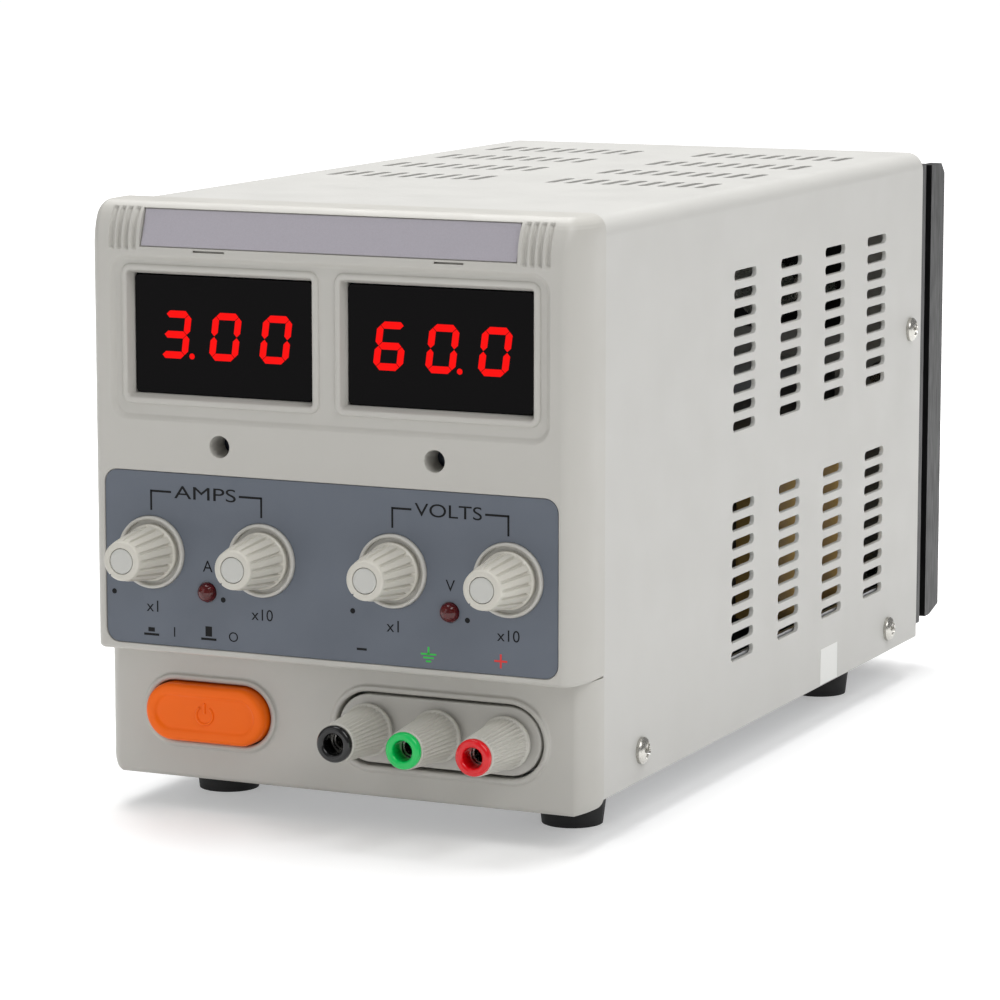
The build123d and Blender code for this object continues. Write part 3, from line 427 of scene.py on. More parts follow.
def brow_depth(z):
    """How far the brow has receded at a height: a quarter ellipse up to the top."""
    rise = np.clip((z - BROW) / (TOP - BROW), 0, 1)
    return BROW_DEEP * (1 - np.sqrt(1 - rise ** 2))


def half_at(z):
    """Half the width at a height, drawn in by a quarter circle at both ends."""
    over = np.clip(np.maximum(z - (TOP - END_ROUND), LOW + END_ROUND - z), 0, END_ROUND)
    return HALF - END_ROUND + np.sqrt(END_ROUND ** 2 - over ** 2)


def plan_row(z, face, corner, fronts, inset=0.0):
    """One level of the bezel: side, quarter-ellipse corner, front, corner, side."""
    half = half_at(z) - inset
    face = face + inset
    deep = min(corner - inset, BEZEL_DEPTH - face - 0.01)
    turn = np.radians(np.linspace(0, 90, 13))
    cx = FLAT + (half - FLAT) * np.cos(turn)
    cy = face + deep * (1 - np.sin(turn))
    x = np.concatenate([[-half], -cx, fronts, cx[::-1], [half]])
    y = np.concatenate([[BEZEL_DEPTH], cy, np.full(len(fronts), face), cy[::-1],
                        [BEZEL_DEPTH]])
    return np.stack([x, y, np.full(len(x), z)], 1)


# The brow, with its grooves, the recess of the name strip and two small notches.
STRIP_HALF, STRIP_LOW, STRIP_HIGH = 52.4, 147.3, 157.0
GROOVES, GROOVE_HALF, GROOVE_DEPTH = (54.1, 56.2, 58.3, 60.4), 0.68, 0.95
NOTCH_LOW, NOTCH_HIGH, NOTCH_DEPTH = 146.35, 146.85, 1.2
STRIP_SINK = 0.75                 # how far the floor lies behind the chord of the brow
groove_side = np.arange(53.0, 61.76, 0.25)
fronts = np.unique(np.round(np.concatenate([
    -groove_side, groove_side, [-STRIP_HALF, STRIP_HALF, -37, -28, 30, 38],
    np.linspace(-46, 46, 9)]), 3))
rows_z = np.unique(np.round(np.concatenate([
    [BROW_ROWS, NOTCH_LOW, 146.6, NOTCH_HIGH, STRIP_LOW, 147.6, STRIP_HIGH, 156.4, 156.7],
    BROW + (TOP - BROW) * np.sin(np.radians(np.arange(6, 91, 7))),
    TOP - END_ROUND + END_ROUND * np.sin(np.radians(np.arange(15, 91, 15)))]), 3))
brow = np.stack([plan_row(z, float(brow_depth(z)), UPPER_CORNER, fronts) for z in rows_z])
bx, bz = np.abs(brow[..., 0]), brow[..., 2]
ends = np.clip((bz - 146.4) / 0.6, 0, 1) * np.clip((157.2 - bz) / 0.7, 0, 1)
across = sum(np.clip(1 - ((bx - g) / GROOVE_HALF) ** 2, 0, 1) for g in GROOVES)
brow[..., 1] += GROOVE_DEPTH * np.sqrt(across) * ends
mid_x = (brow[:-1, :-1, 0] + brow[:-1, 1:, 0]) / 2
mid_z = (brow[:-1, :-1, 2] + brow[1:, :-1, 2]) / 2
in_strip = (np.abs(mid_x) < STRIP_HALF) & (mid_z > STRIP_LOW) & (mid_z < STRIP_HIGH)
in_notch = ((np.abs(mid_x + 32.5) < 4.5) | (np.abs(mid_x - 34) < 4)) & \
    (mid_z > NOTCH_LOW) & (mid_z < NOTCH_HIGH)
strip_lean = (brow_depth(STRIP_HIGH) - brow_depth(STRIP_LOW)) / (STRIP_HIGH - STRIP_LOW)


def strip_plane(z):
    """Depth of the strip's face at a height: the chord of the brow."""
    return brow_depth(STRIP_LOW) + strip_lean * (z - STRIP_LOW)


floor = brow.copy()
floor[..., 1] = np.where(bz > (NOTCH_HIGH + STRIP_LOW) / 2, strip_plane(bz) + STRIP_SINK,
                         brow[..., 1] + NOTCH_DEPTH)
bezel = [sunk(brow, in_strip | in_notch, floor)]

# Sides and corners of the upper part, then its lower lip and the step below it.
plain = np.array([-FLAT, FLAT])
tall = np.stack([plan_row(z, 0.0, UPPER_CORNER, plain) for z in (LIP_TOP, BROW_ROWS)])
bezel.append(sheet_of(tall[:, :SIDE_COLUMNS + 1]))
bezel.append(sheet_of(tall[:, -SIDE_COLUMNS - 1:]))
lip = [plan_row(LIP_TOP - LIP * sin(t), 0.0, UPPER_CORNER, plain, LIP * (1 - cos(t)))
       for t in np.radians(np.linspace(0, 90, 6))]
lower_top = plan_row(STEP, LOWER_FACE, LOWER_CORNER, plain)
bezel.append(sheet_of(np.stack([*lip, lower_top])))
edge_turn = np.radians(np.linspace(0, 90, 6))
low_rows = [plan_row(z, LOWER_FACE, LOWER_CORNER, plain)
            for z in (LOW_FLAT, 12.2, 11.2, LOW_EDGE)]
foot_rows = [plan_row(LOW_EDGE - EDGE_ROUND * sin(t), LOWER_FACE, LOWER_CORNER, plain,
                      EDGE_ROUND * (1 - cos(t)))
             for t in edge_turn[1:]]
low_tall = np.stack([lower_top, low_rows[0]])
bezel.append(sheet_of(low_tall[:, :SIDE_COLUMNS + 1]))
bezel.append(sheet_of(low_tall[:, -SIDE_COLUMNS - 1:]))
bezel.append(sheet_of(np.stack([*low_rows, *foot_rows])))


def level(x, y, z):
    """Outline coordinates on a level surface: X and Y, with Z as the depth."""
    return np.stack(np.broadcast_arrays(x, y, z), -1)


bezel.append(fill(brow[-1][:, :2], depth=TOP, place=level))
bezel.append(fill(foot_rows[-1][:, :2], depth=LOW, place=level))

# Display recess, its floor and a raised frame round each window.
RECESS_SLOPE, RECESS_DEPTH = 1.7, 1.2
DISPLAY = rounded_outline(122.6, 42.4, 5.0, 8, 0.0, 124.2)
soft = [(-RECESS_SLOPE * t, RECESS_DEPTH * (3 * t ** 2 - 2 * t ** 3))
        for t in np.linspace(0, 1, 8)]
windows = {side: middle("display_window_" + side) for side in ("left", "right")}
window_low, window_high = box_mm("display_window_left")
WINDOW_W, WINDOW_H = window_high[0] - window_low[0], window_high[2] - window_low[2]
FRAME = 2.7
frames = [rounded_outline(WINDOW_W + 2 * FRAME, WINDOW_H + 2 * FRAME, 2.6, 6, w[0], w[2])
          for w in windows.values()]
frame_profile = [(0, 1.2), (-0.12, 0.85), (-0.4, 0.6), (-0.75, 0.5), (-1.2, 0.5),
                 (-1.5, 0.6), (-1.75, 0.85), (-2.3, 2.6), (-2.55, 3.25), (-2.56, 4.6)]
bezel.append(rim(DISPLAY, soft))
bezel.append(fill(moved_loop(DISPLAY, -RECESS_SLOPE), [p for p, _ in frames], RECESS_DEPTH))
bezel += [rim(f, frame_profile) for f in frames]

# Trimmer holes, the recess of the fascia, and the collars of the knob wells.
TRIMMER_X, TRIMMER_Z, CHAMFER = 30.0, 97.5, 0.4
trimmers = [rounded_outline(5.5, 5.5, 2.7499, 9, s * TRIMMER_X, TRIMMER_Z) for s in (-1, 1)]
bezel += [rim(t, [(CHAMFER, 0), (0.12, 0.1), (0, CHAMFER), (0, 8.0)]) for t in trimmers]
FASCIA_Z, FASCIA_FLOOR = 67.7, 0.8
FASCIA = rounded_outline(127.4, 45.6, 4.0, 8, 0.0, FASCIA_Z)
bezel.append(rim(FASCIA, [(0, 0), (-0.15, 0.04), (-0.27, 0.16), (-0.3, 0.32),
                          (-0.3, FASCIA_FLOOR)]))
bezel.append(fill(moved_loop(FASCIA, -0.3), depth=FASCIA_FLOOR))
KNOBS = ("current_fine", "current_coarse", "voltage_fine", "voltage_coarse")
knob_places = {k: middle(k + "_knob") for k in KNOBS}
collar = [(9.35, 0.8), (9.35, -0.35), (9.27, -0.6), (9.08, -0.76), (8.87, -0.8),
          (8.66, -0.76), (8.47, -0.6), (8.4, -0.35), (8.4, 9.0), (3.6, 9.0)]
bezel += [lathe(collar, p[0], p[2], 72) for p in knob_places.values()]
upper = np.concatenate([[[-FLAT, LIP_TOP], [FLAT, LIP_TOP]],
                        np.stack([np.r_[FLAT, fronts[::-1], -FLAT],
                                  np.full(len(fronts) + 2, BROW_ROWS)], 1)])
holes = [DISPLAY[0], FASCIA[0], *[moved_loop(t, CHAMFER) for t in trimmers]]
bezel.append(fill(upper, holes, 0.0))

# The lower face, with the collars of the button and the terminals.
button_at = middle("power_button")
plate_at = middle("terminal_plate")
LOW_ROW = button_at[2]
button_collar = stadium_outline(38.3, 18.8, 14, button_at[0], LOW_ROW)
post_collar = stadium_outline(60.5, 22.0, 14, plate_at[0], LOW_ROW)
COLLAR_FOOT = 0.7                 # how far the fillet at a collar's foot reaches
collar_profile = [(COLLAR_FOOT, LOWER_FACE), (0.35, 7.84), (0.1, 7.62), (0.0, 7.35),
                  (-0.05, 7.15), (-0.22, 6.98), (-0.5, 6.9), (-0.85, 6.9),
                  (-1.15, 6.98), (-1.38, 7.2), (-1.48, 7.5), (-1.5, 8.0), (-1.5, 15.0)]
bezel += [rim(c, collar_profile) for c in (button_collar, post_collar)]
lower = np.array([[-FLAT, LOW_FLAT], [FLAT, LOW_FLAT], [FLAT, STEP], [-FLAT, STEP]])
bezel.append(fill(lower, [moved_loop(c, COLLAR_FOOT) for c in (button_collar, post_collar)],
                  LOWER_FACE))

# The back edge of the bezel and the inside of its wall.
side_z = np.concatenate([[r[0, 2] for r in foot_rows[::-1]], [r[0, 2] for r in low_rows[::-1]],
                         [STEP], [r[0, 2] for r in lip[::-1]], rows_z])
side_x = np.concatenate([[r[-1, 0] for r in foot_rows[::-1]],
                         [r[-1, 0] for r in low_rows[::-1]], [HALF],
                         [r[-1, 0] for r in lip[::-1]], [r[-1, 0] for r in brow]])
keep = np.r_[True, np.diff(side_z) > 1e-4]
right = np.stack([side_x[keep], side_z[keep]], 1)
back_loop = np.concatenate([right, (right * [-1, 1])[::-1]])
inner_wall = rounded_outline(2 * (HALF - WALL), TOP - LOW - 2 * WALL, 2.0, 5, 0.0,
                             (LOW + TOP) / 2)
bezel.append(fill(back_loop, [inner_wall[0]], BEZEL_DEPTH))
bezel.append(rim(inner_wall, [(0, BEZEL_DEPTH), (0, 12.0)]))
make_piece("bezel", bezel, bezel_plastic, "case", ["front_bezel"], 40)

# ---- name strip, left blank -----------------------------------------------------------
strip_z = np.array([STRIP_LOW + 0.3, STRIP_HIGH - 0.3])
strip_x = np.array([-52.0, 52.0])


def strip_layer(behind):
    """The strip's outline on its leaning plane, some way behind its face."""
    gx, gz = np.meshgrid(strip_x, strip_z)
    return np.stack([gx, strip_plane(gz) + 0.25 + behind, gz], -1)


strip_corners = strip_layer(0.0)
behind_corners = strip_layer(0.4)
loop = [(0, 0), (0, 1), (1, 1), (1, 0)]
strip_band = np.stack([np.stack([layer[k] for k in loop])
                       for layer in (strip_corners, behind_corners)])
make_piece("name_strip_foil", [sheet_of(strip_corners), sheet_of(strip_band, closed=True),
                               sheet_of(behind_corners)],
           strip_foil, "case", ["name_strip"], 30)

# ---- windows and lit digits -----------------------------------------------------------
DIGIT_H, DIGIT_W, STROKE, SLANT = 12.2, 8.2, 1.8, 0.13
DIGIT_PITCH, DIGIT_SHIFT = 14.3, 0.6
LIT_PROUD, LIT_THICK = 0.06, 0.05     # the lit bars lie just in front of the pane
SEGMENTS = {"0": "abcdef", "3": "abcdg", "6": "acdefg"}


def bar(x0, z0, x1, z1, width):
    """A lit bar between two points with pointed ends, as a six-sided loop."""
    a, b = np.array([x0, z0]), np.array([x1, z1])
    along = (b - a) / np.hypot(*(b - a))
    aside = np.array([-along[1], along[0]]) * width / 2
    cut = along * width / 2
    return np.array([a, a + cut + aside, b - cut + aside, b, b - cut - aside, a + cut - aside])


def segment_loops(mark):
    """The loops of one seven-bar character about its own middle, leaning to the right."""
    w, h, g = DIGIT_W / 2 - STROKE / 2, DIGIT_H / 2 - STROKE / 2, 0.1
    ends_of = {"a": (-w + g, h, w - g, h), "b": (w, h - g, w, g), "c": (w, -g, w, -h + g),
               "d": (-w + g, -h, w - g, -h), "e": (-w, -h + g, -w, -g),
               "f": (-w, g, -w, h - g), "g": (-w + g, 0, w - g, 0)}
    loops = [bar(*ends_of[s], STROKE) for s in SEGMENTS[mark]]
    return [np.stack([l[:, 0] + SLANT * l[:, 1], l[:, 1]], 1) for l in loops]


def slab(loop, depth, thick):
    """A flat shape of some thickness, from its loop on the front."""
    rings = np.stack([facing_front(loop[:, 0], loop[:, 1], d) for d in (depth, depth + thick)])
    return [sheet_of(rings, closed=True), fill(loop, depth=depth),
            fill(loop, depth=depth + thick)]


glass = window_low[1]
PANE_BACK = 4.6
for side, text, point_after in (("left", "300", 0), ("right", "600", 1)):
    centre = windows[side]
    pane = rounded_outline(WINDOW_W, WINDOW_H, 1.2, 4, centre[0], centre[2])
    inner = moved_loop(pane, -0.25)
    make_piece("window_" + side, [rim(pane, [(0, PANE_BACK), (0, glass + 0.25), (-0.25, glass)]),
                                  fill(inner, depth=glass), fill(pane[0], depth=PANE_BACK)],
               window_tint, "case", ["display_window_" + side], 30)
    marks = []
    for i, mark in enumerate(text):
        at = np.array([centre[0] + DIGIT_SHIFT + (i - 1) * DIGIT_PITCH, centre[2]])
        for loop_points in segment_loops(mark):
            marks += slab(loop_points + at, glass - LIT_PROUD, LIT_THICK)
        if i == point_after:
            dot, _ = rounded_outline(1.5, 1.5, 0.74, 4, at[0] + 4.7, at[1] - DIGIT_H / 2 + 0.75)
            marks += slab(dot, glass - LIT_PROUD, LIT_THICK)
    make_piece("lit_digits_" + side, marks, lit, "case", (), 30)

# ---- fascia and its printing ----------------------------------------------------------
FACE = box_mm("control_fascia")[0][1]
PRINT = FACE - 0.03               # printing lies this little in front of the sheet
sheet_edge = rounded_outline(126.5, 44.7, 3.55, 8, 0.0, FASCIA_Z)
wells = [rounded_outline(19.0, 19.0, 9.4999, 18, p[0], p[2]) for p in knob_places.values()]
LAMP_X, LAMP_Z, LAMP_RADIUS = 34.0, 60.0, 2.5
LAMPS = ((-LAMP_X, LAMP_Z), (LAMP_X, LAMP_Z))
lamp_holes = [rounded_outline(5.3, 5.3, 2.6499, 9, x, z) for x, z in LAMPS]
sheet_holes = [*wells, *lamp_holes]
fascia = [rim(sheet_edge, [(0, FASCIA_FLOOR), (0, FACE + 0.08), (-0.08, FACE)]),
          fill(moved_loop(sheet_edge, -0.08), [h for h, _ in sheet_holes], FACE)]
fascia += [rim(h, [(0, FACE), (0, 0.75)]) for h in sheet_holes]
make_piece("fascia_sheet", fascia, fascia_ink, "case", ["control_fascia"], 30)


def lettering(text, height, x, z, width=None):
    """Plain upright letters as a mesh patch, centred on (x, z), with their capital height."""
    curve = bpy.data.curves.new("letters", "FONT")
    curve.body = text
    curve.size = 1.0
    holder = bpy.data.objects.new("letters", curve)
    bpy.context.scene.collection.objects.link(holder)
    bpy.context.view_layer.update()
    shaped = bpy.data.meshes.new_from_object(
        holder.evaluated_get(bpy.context.evaluated_depsgraph_get()))
    flat = np.empty(len(shaped.vertices) * 3)
    shaped.vertices.foreach_get("co", flat)
    flat = flat.reshape(-1, 3)
    faces = [list(p.vertices) for p in shaped.polygons]
    bpy.data.objects.remove(holder)
    low, high = flat.min(axis=0), flat.max(axis=0)
    scale = height / (high[1] - low[1])
    wide = scale if width is None else width / (high[0] - low[0])
    u = x + (flat[:, 0] - (low[0] + high[0]) / 2) * wide
    v = z + (flat[:, 1] - (low[1] + high[1]) / 2) * scale
    return facing_front(u, v, PRINT), faces


def stroke(x0, z0, x1, z1, width=0.55):
    """A printed line with square ends."""
    a, b = np.array([x0, z0]), np.array([x1, z1])
    along = (b - a) / np.hypot(*(b - a)) * width / 2
    aside = np.array([-along[1], along[0]])
    loop = np.array([a - along - aside, b + along - aside, b + along + aside,
                     a - along + aside])
    return fill(loop, depth=PRINT)


def printed(name, patches, finish):
    """Printing lies on the sheet, so its faces are turned to the front."""
    made = make_piece(name, patches, finish, "case", (), 30, outward=False)
    work = bmesh.new()
    work.from_mesh(made.data)
    bmesh.ops.reverse_faces(work, faces=[f for f in work.faces if f.normal.y > 0])
    work.to_mesh(made.data)
    work.free()


BRACKET_Z, KEY_LOW, KEY_Z, SIGN_Z = 85.1, 48.6, 49.0, 48.8
GROUND_X, PLUS_X = 28.2, 47.9
black = []
for names, word, centre_x, half_gap in ((KNOBS[:2], "AMPS", -34.4, 9.6),
                                        (KNOBS[2:], "VOLTS", 33.65, 9.9)):
    left_x, right_x = (knob_places[n][0] for n in names)
    black.append(lettering(word, 3.3, centre_x, 85.2, 2 * half_gap - 1.5))
    for edge_x, near_x in ((left_x, centre_x - half_gap - 0.4),
                           (right_x, centre_x + half_gap + 0.4)):
        black.append(stroke(edge_x, BRACKET_Z, near_x, BRACKET_Z))
        black.append(stroke(edge_x, BRACKET_Z, edge_x, 80.4))
    for name, word in zip(names, ("x1", "x10")):
        black.append(lettering(word, 2.9, knob_places[name][0], 55.3))
for place in knob_places.values():
    dot, _ = rounded_outline(1.4, 1.4, 0.6999, 5, place[0] - 11.1, place[2] - 10.9)
    black.append(fill(dot, depth=PRINT))
for (lamp_x, _), word in zip(LAMPS, ("A", "V")):
    black.append(lettering(word, 2.9, lamp_x + 0.2, 66.7))
for x, high in ((-50.3, 1.1), (-33.7, 2.6)):
    block = np.array([[x - 0.95, KEY_LOW], [x + 0.95, KEY_LOW], [x + 0.95, KEY_LOW + high],
                      [x - 0.95, KEY_LOW + high]])
    black.append(fill(block, depth=PRINT))
    black.append(stroke(x - 1.9, 47.9, x + 1.9, 47.9, 0.6))
black.append(lettering("I", 2.5, -43.6, KEY_Z))
black.append(lettering("O", 2.5, -26.6, KEY_Z))
black.append(stroke(8.6, SIGN_Z, 10.8, SIGN_Z, 0.6))
printed("black_printing", black, ink_black)
green = [stroke(GROUND_X, 50.6, GROUND_X, 49.2, 0.5)]
green += [stroke(GROUND_X - w, z, GROUND_X + w, z, 0.45)
          for w, z in ((1.9, 49.0), (1.2, 48.1), (0.5, 47.2))]
printed("green_printing", green, ink_green)
printed("red_printing", [stroke(PLUS_X - 1.5, SIGN_Z, PLUS_X + 1.5, SIGN_Z, 0.5),
                         stroke(PLUS_X, SIGN_Z - 1.5, PLUS_X, SIGN_Z - 0.5, 0.5),
                         stroke(PLUS_X, SIGN_Z + 0.5, PLUS_X, SIGN_Z + 1.5, 0.5)], ink_red)

# ---- knobs and caps -------------------------------------------------------------------
FLUTES = 16
knob_profile = [(3.35, -14.1), (3.35, -15.5), (3.45, -15.6), (4.45, -15.6), (4.8, -15.5),
                (5.02, -15.25), (5.1, -14.9), (5.12, -14.5), (5.3, -14.0), (5.42, -13.4),
                (5.6, -12.2), (5.9, -10.0), (6.2, -7.6), (6.5, -5.2), (6.75, -3.2),
                (6.84, -2.1), (6.86, -1.6), (6.88, -1.2), (7.0, -0.95), (7.2, -0.8),
                (7.3, -0.45), (7.3, 2.3), (7.1, 2.5), (3.1, 2.5)]


def fluted(angle, radius, depth):
    """The radius less a groove at every sixteenth of a turn, along the cone only."""
    along = np.clip((depth + 14.5) / 0.9, 0, 1) * np.clip((-1.35 - depth) / 0.25, 0, 1)
    wave = np.clip((np.cos(FLUTES * angle) - 0.25) / 0.55, 0, 1)
    deep = 0.42 + 0.4 * np.clip((depth + 14) / 12, 0, 1)
    return radius - deep * along * wave * wave * (3 - 2 * wave)


NOTCH = radians(222)


def knob_radius(angle, radius, depth):
    """Flutes, and the pointer's small notch in the front edge."""
    near = np.clip(1 - np.abs(angle - NOTCH) / 0.055, 0, 1)
    front = np.clip((-14.4 - depth) / 0.3, 0, 1) * np.clip((radius - 4.3) / 0.2, 0, 1)
    return fluted(angle, radius, depth) - 0.45 * near * front


cap_profile = [(0.02, -15.42), (2.2, -15.44), (3.0, -15.5), (3.16, -15.42), (3.22, -15.2),
               (3.22, -14.2), (0.02, -14.2)]
for name, place in knob_places.items():
    make_piece(name + "_grip", [lathe(knob_profile, place[0], place[2], 240, knob_radius)],
               knob_plastic, name + "_dial", [name + "_knob"], 42)
    make_piece(name + "_disc", [lathe(cap_profile, place[0], place[2], 48)],
               cap_plastic, name + "_dial", [name + "_cap"], 40)

# ---- terminals ------------------------------------------------------------------------
plate_edge = stadium_outline(56.1, 17.6, 14, plate_at[0], LOW_ROW)
PLATE_FACE, PLATE_BACK, PLATE_ROUND = 7.5, 16.9, 0.7
plate_profile = [(0, PLATE_BACK), (0, 7.95), (-0.12, 7.68), (-0.4, 7.52),
                 (-PLATE_ROUND, PLATE_FACE)]
make_piece("socket_plate", [rim(plate_edge, plate_profile),
                            fill(moved_loop(plate_edge, -PLATE_ROUND), depth=PLATE_FACE),
                            fill(plate_edge[0], depth=PLATE_BACK)],
           bezel_plastic, "case", ["terminal_plate"], 40)
RIBS = 32
nut_profile = [(3.15, 6.2), (6.55, 6.2), (6.75, 6.05), (6.8, 5.8), (6.8, 5.3), (6.72, 5.08),
               (6.5, 4.98), (6.36, 4.9), (6.33, 4.7), (6.3, 4.3), (6.0, 1.0), (5.7, -2.6),
               (5.4, -6.4), (5.12, -10.2), (5.02, -11.5), (4.98, -11.9), (4.85, -12.2),
               (4.6, -12.3), (4.15, -12.3), (4.15, -8.6), (3.15, -8.6)]


def ribbed(angle, radius, depth):
    """The radius less a fine groove between ribs, along the cone only."""
    along = np.clip((4.9 - depth) / 0.3, 0, 1) * np.clip((depth + 11.9) / 0.5, 0, 1)
    along = along * (radius > 4.9)
    return radius - 0.22 * along * (1 - np.cos(RIBS * angle))


ring_profile = [(2.6, -8.8), (2.6, -13.3), (2.68, -13.7), (2.95, -14.02), (3.35, -14.18),
                (3.8, -14.18), (4.25, -14.04), (4.54, -13.75), (4.68, -13.35),
                (4.7, -12.9), (4.66, -12.45), (4.0, -12.4), (4.0, -8.8), (2.6, -8.8)]
ring_finish = {"negative": black_gloss, "ground": green_gloss, "positive": red_gloss}
for name in ring_finish:
    place = middle(name + "_ring")
    make_piece(name + "_screw_cap", [lathe(nut_profile, place[0], place[2], 320, ribbed)],
               nut_plastic, name + "_nut", [name + "_thumb_nut"], 50)
    make_piece(name + "_collar", [lathe(ring_profile, place[0], place[2], 56)],
               ring_finish[name], name + "_carrier", [name + "_ring"], 50)

# ---- power button ---------------------------------------------------------------------
button_edge = stadium_outline(34.5, 15.0, 16, button_at[0], LOW_ROW)
BUTTON_FLOOR, BUTTON_BACK, BUTTON_RIM = 4.5, 12.8, 3.7
button_profile = [(0, BUTTON_BACK), (0, 5.4), (-0.1, 4.9), (-0.35, 4.4), (-0.75, 4.05),
                  (-1.3, 3.9), (-2.3, 3.9), (-2.7, 3.97), (-3.0, 4.2), (-3.3, 4.42),
                  (-BUTTON_RIM, BUTTON_FLOOR)]
RIDGE = 0.42                      # height of the raised symbol


def raised_arc(x, z, radius, width, start, stop):
    """A low rounded ridge along part of a circle: a half-round section swept on it."""
    turn = np.radians(np.linspace(start, stop, 33))[:, None]
    round_ = np.radians(np.linspace(0, 180, 7))[None, :]
    r = radius + width / 2 * np.cos(round_)
    depth = BUTTON_FLOOR + 0.02 - RIDGE * np.sin(round_) + 0 * turn
    return sheet_of(np.stack([x + r * np.sin(turn), depth, z + r * np.cos(turn)], -1))


def raised_bar(x, z0, z1, width):
    """A low rounded ridge standing up and down."""
    height = np.array([z0, z0 + 0.15, z1 - 0.15, z1])[:, None]
    full = np.array([0.2, 1.0, 1.0, 0.2])[:, None]
    round_ = np.radians(np.linspace(0, 180, 7))[None, :]
    u = x + full * width / 2 * np.cos(round_)
    depth = BUTTON_FLOOR + 0.02 - RIDGE * full * np.sin(round_)
    return sheet_of(np.stack([u, depth, height + 0 * round_], -1))


button = [rim(button_edge, button_profile),
          fill(moved_loop(button_edge, -BUTTON_RIM), depth=BUTTON_FLOOR),
          fill(button_edge[0], depth=BUTTON_BACK)]
make_piece("orange_cap", button, orange_plastic, "button",
           ["power_button"], 35)
make_piece("power_symbol", [raised_arc(button_at[0], LOW_ROW - 0.15, 2.35, 0.75, 35, 325),
                            raised_bar(button_at[0], LOW_ROW + 0.2, LOW_ROW + 3.1, 0.75)],
           orange_plastic, "button", (), 50)

# ---- lamps, side screws ---------------------------------------------------------------
dome = [(LAMP_RADIUS * sin(t) + 0.01, 0.3 - LAMP_RADIUS * cos(t))
        for t in np.radians(np.linspace(0, 90, 12))]
make_piece("mode_lamp_domes",
           [lathe(dome + [(LAMP_RADIUS, 7.0)], x, z, 48) for x, z in LAMPS],
           lens, "case", ["mode_lamps"], 60)
SCREWS = ((42.2, 19.9), (231.4, 18.9), (248.0, 106.1))


def screw_head(side, y, z):
    """A pan head: a dome of radius 3.5 with a cross-shaped hollow, open behind."""
    turn = np.linspace(0, 2 * pi, 64, endpoint=False)[None, :]
    far = np.array([0.02, 0.3, 0.6, 0.9, 1.2, 1.5, 1.8, 2.1, 2.5, 2.9, 3.2, 3.4, 3.5, 3.5])
    far = far[:, None] + 0 * turn
    a, b = np.abs(far * np.cos(turn + 0.4)), np.abs(far * np.sin(turn + 0.4))
    arm = np.maximum(np.clip((0.62 - a) / 0.2, 0, 1) * np.clip((2.0 - b) / 0.35, 0, 1),
                     np.clip((0.62 - b) / 0.2, 0, 1) * np.clip((2.0 - a) / 0.35, 0, 1))
    high = 2.1 * np.sqrt(np.clip(1 - (far / 3.75) ** 2.6, 0, 1))
    high[-1] = 0.0
    high = high - 1.1 * arm
    return sheet_of(np.stack([side * (68.0 + high), y + far * np.cos(turn),
                              z + far * np.sin(turn)], -1), closed=True)


heads = [screw_head(s, y, z) for s in (-1, 1) for y, z in SCREWS]
make_piece("side_screw_heads", heads, nickel, "case", ["cover_screws"], 30)

# ---- top cover ------------------------------------------------------------------------
COVER_LOW, COVER_HIGH = box_mm("top_cover")
COVER_HALF, COVER_TOP = COVER_HIGH[0], COVER_HIGH[2]
COVER_EDGE, SHEET = 5.0, 1.2
Y0, Y1, Z0 = COVER_LOW[1] + 0.05, COVER_HIGH[1], COVER_LOW[2]
Z1 = COVER_TOP - COVER_EDGE
VENT_L, VENT_H = 16.2, 2.7
COLUMN_PITCH, ROW_PITCH, ROOF_PITCH = 34.93, 5.04, 5.4
COLUMNS, ROWS = 4, 9
VENT_ROUND = 0.22                 # the pressed edge of a slot


def vents(us, vs, upright=False):
    """Slot outlines at every crossing of the two lists of places."""
    size = (VENT_H, VENT_L) if upright else (VENT_L, VENT_H)
    return [rounded_outline(*size, VENT_H / 2 - 1e-4, 4, u, v) for u in us for v in vs]


columns = 113.0 + COLUMN_PITCH * np.arange(COLUMNS)
down = ROW_PITCH * np.arange(ROWS)
side_vents = vents(columns, np.r_[135.1 - down, 73.0 - down])
across_roof = 11.5 + ROOF_PITCH * np.arange(ROWS)
roof_vents = vents(np.r_[-across_roof[::-1], across_roof],
                   119.0 + COLUMN_PITCH * np.arange(COLUMNS), True)


def on_side(side):
    """Places (Y, Z) outlines on one flank; depth is the distance from the middle."""
    return lambda u, v, depth: np.stack(np.broadcast_arrays(side * depth, u, v), -1)


vent_edge = [(VENT_ROUND, 0.0), (0.08, 0.05), (0.0, 0.2), (0.0, SHEET)]
cover = []
flank = np.array([[Y0, Z0], [Y1, Z0], [Y1, Z1], [Y0, Z1]])
for side in (-1, 1):
    put = on_side(side)
    cover.append(fill(flank, [moved_loop(v, VENT_ROUND) for v in side_vents], COVER_HALF, put))
    cover.append(fill(flank, [v[0] for v in side_vents], COVER_HALF - SHEET, put))
    cover += [rim(v, [(o, COVER_HALF - d) for o, d in vent_edge], put) for v in side_vents]
roof = np.array([[-COVER_HALF + COVER_EDGE, Y0], [COVER_HALF - COVER_EDGE, Y0],
                 [COVER_HALF - COVER_EDGE, Y1], [-COVER_HALF + COVER_EDGE, Y1]])
cover.append(fill(roof, [moved_loop(v, VENT_ROUND) for v in roof_vents], COVER_TOP, level))
cover.append(fill(roof, [v[0] for v in roof_vents], COVER_TOP - SHEET, level))
cover += [rim(v, [(o, COVER_TOP - d) for o, d in vent_edge], level) for v in roof_vents]


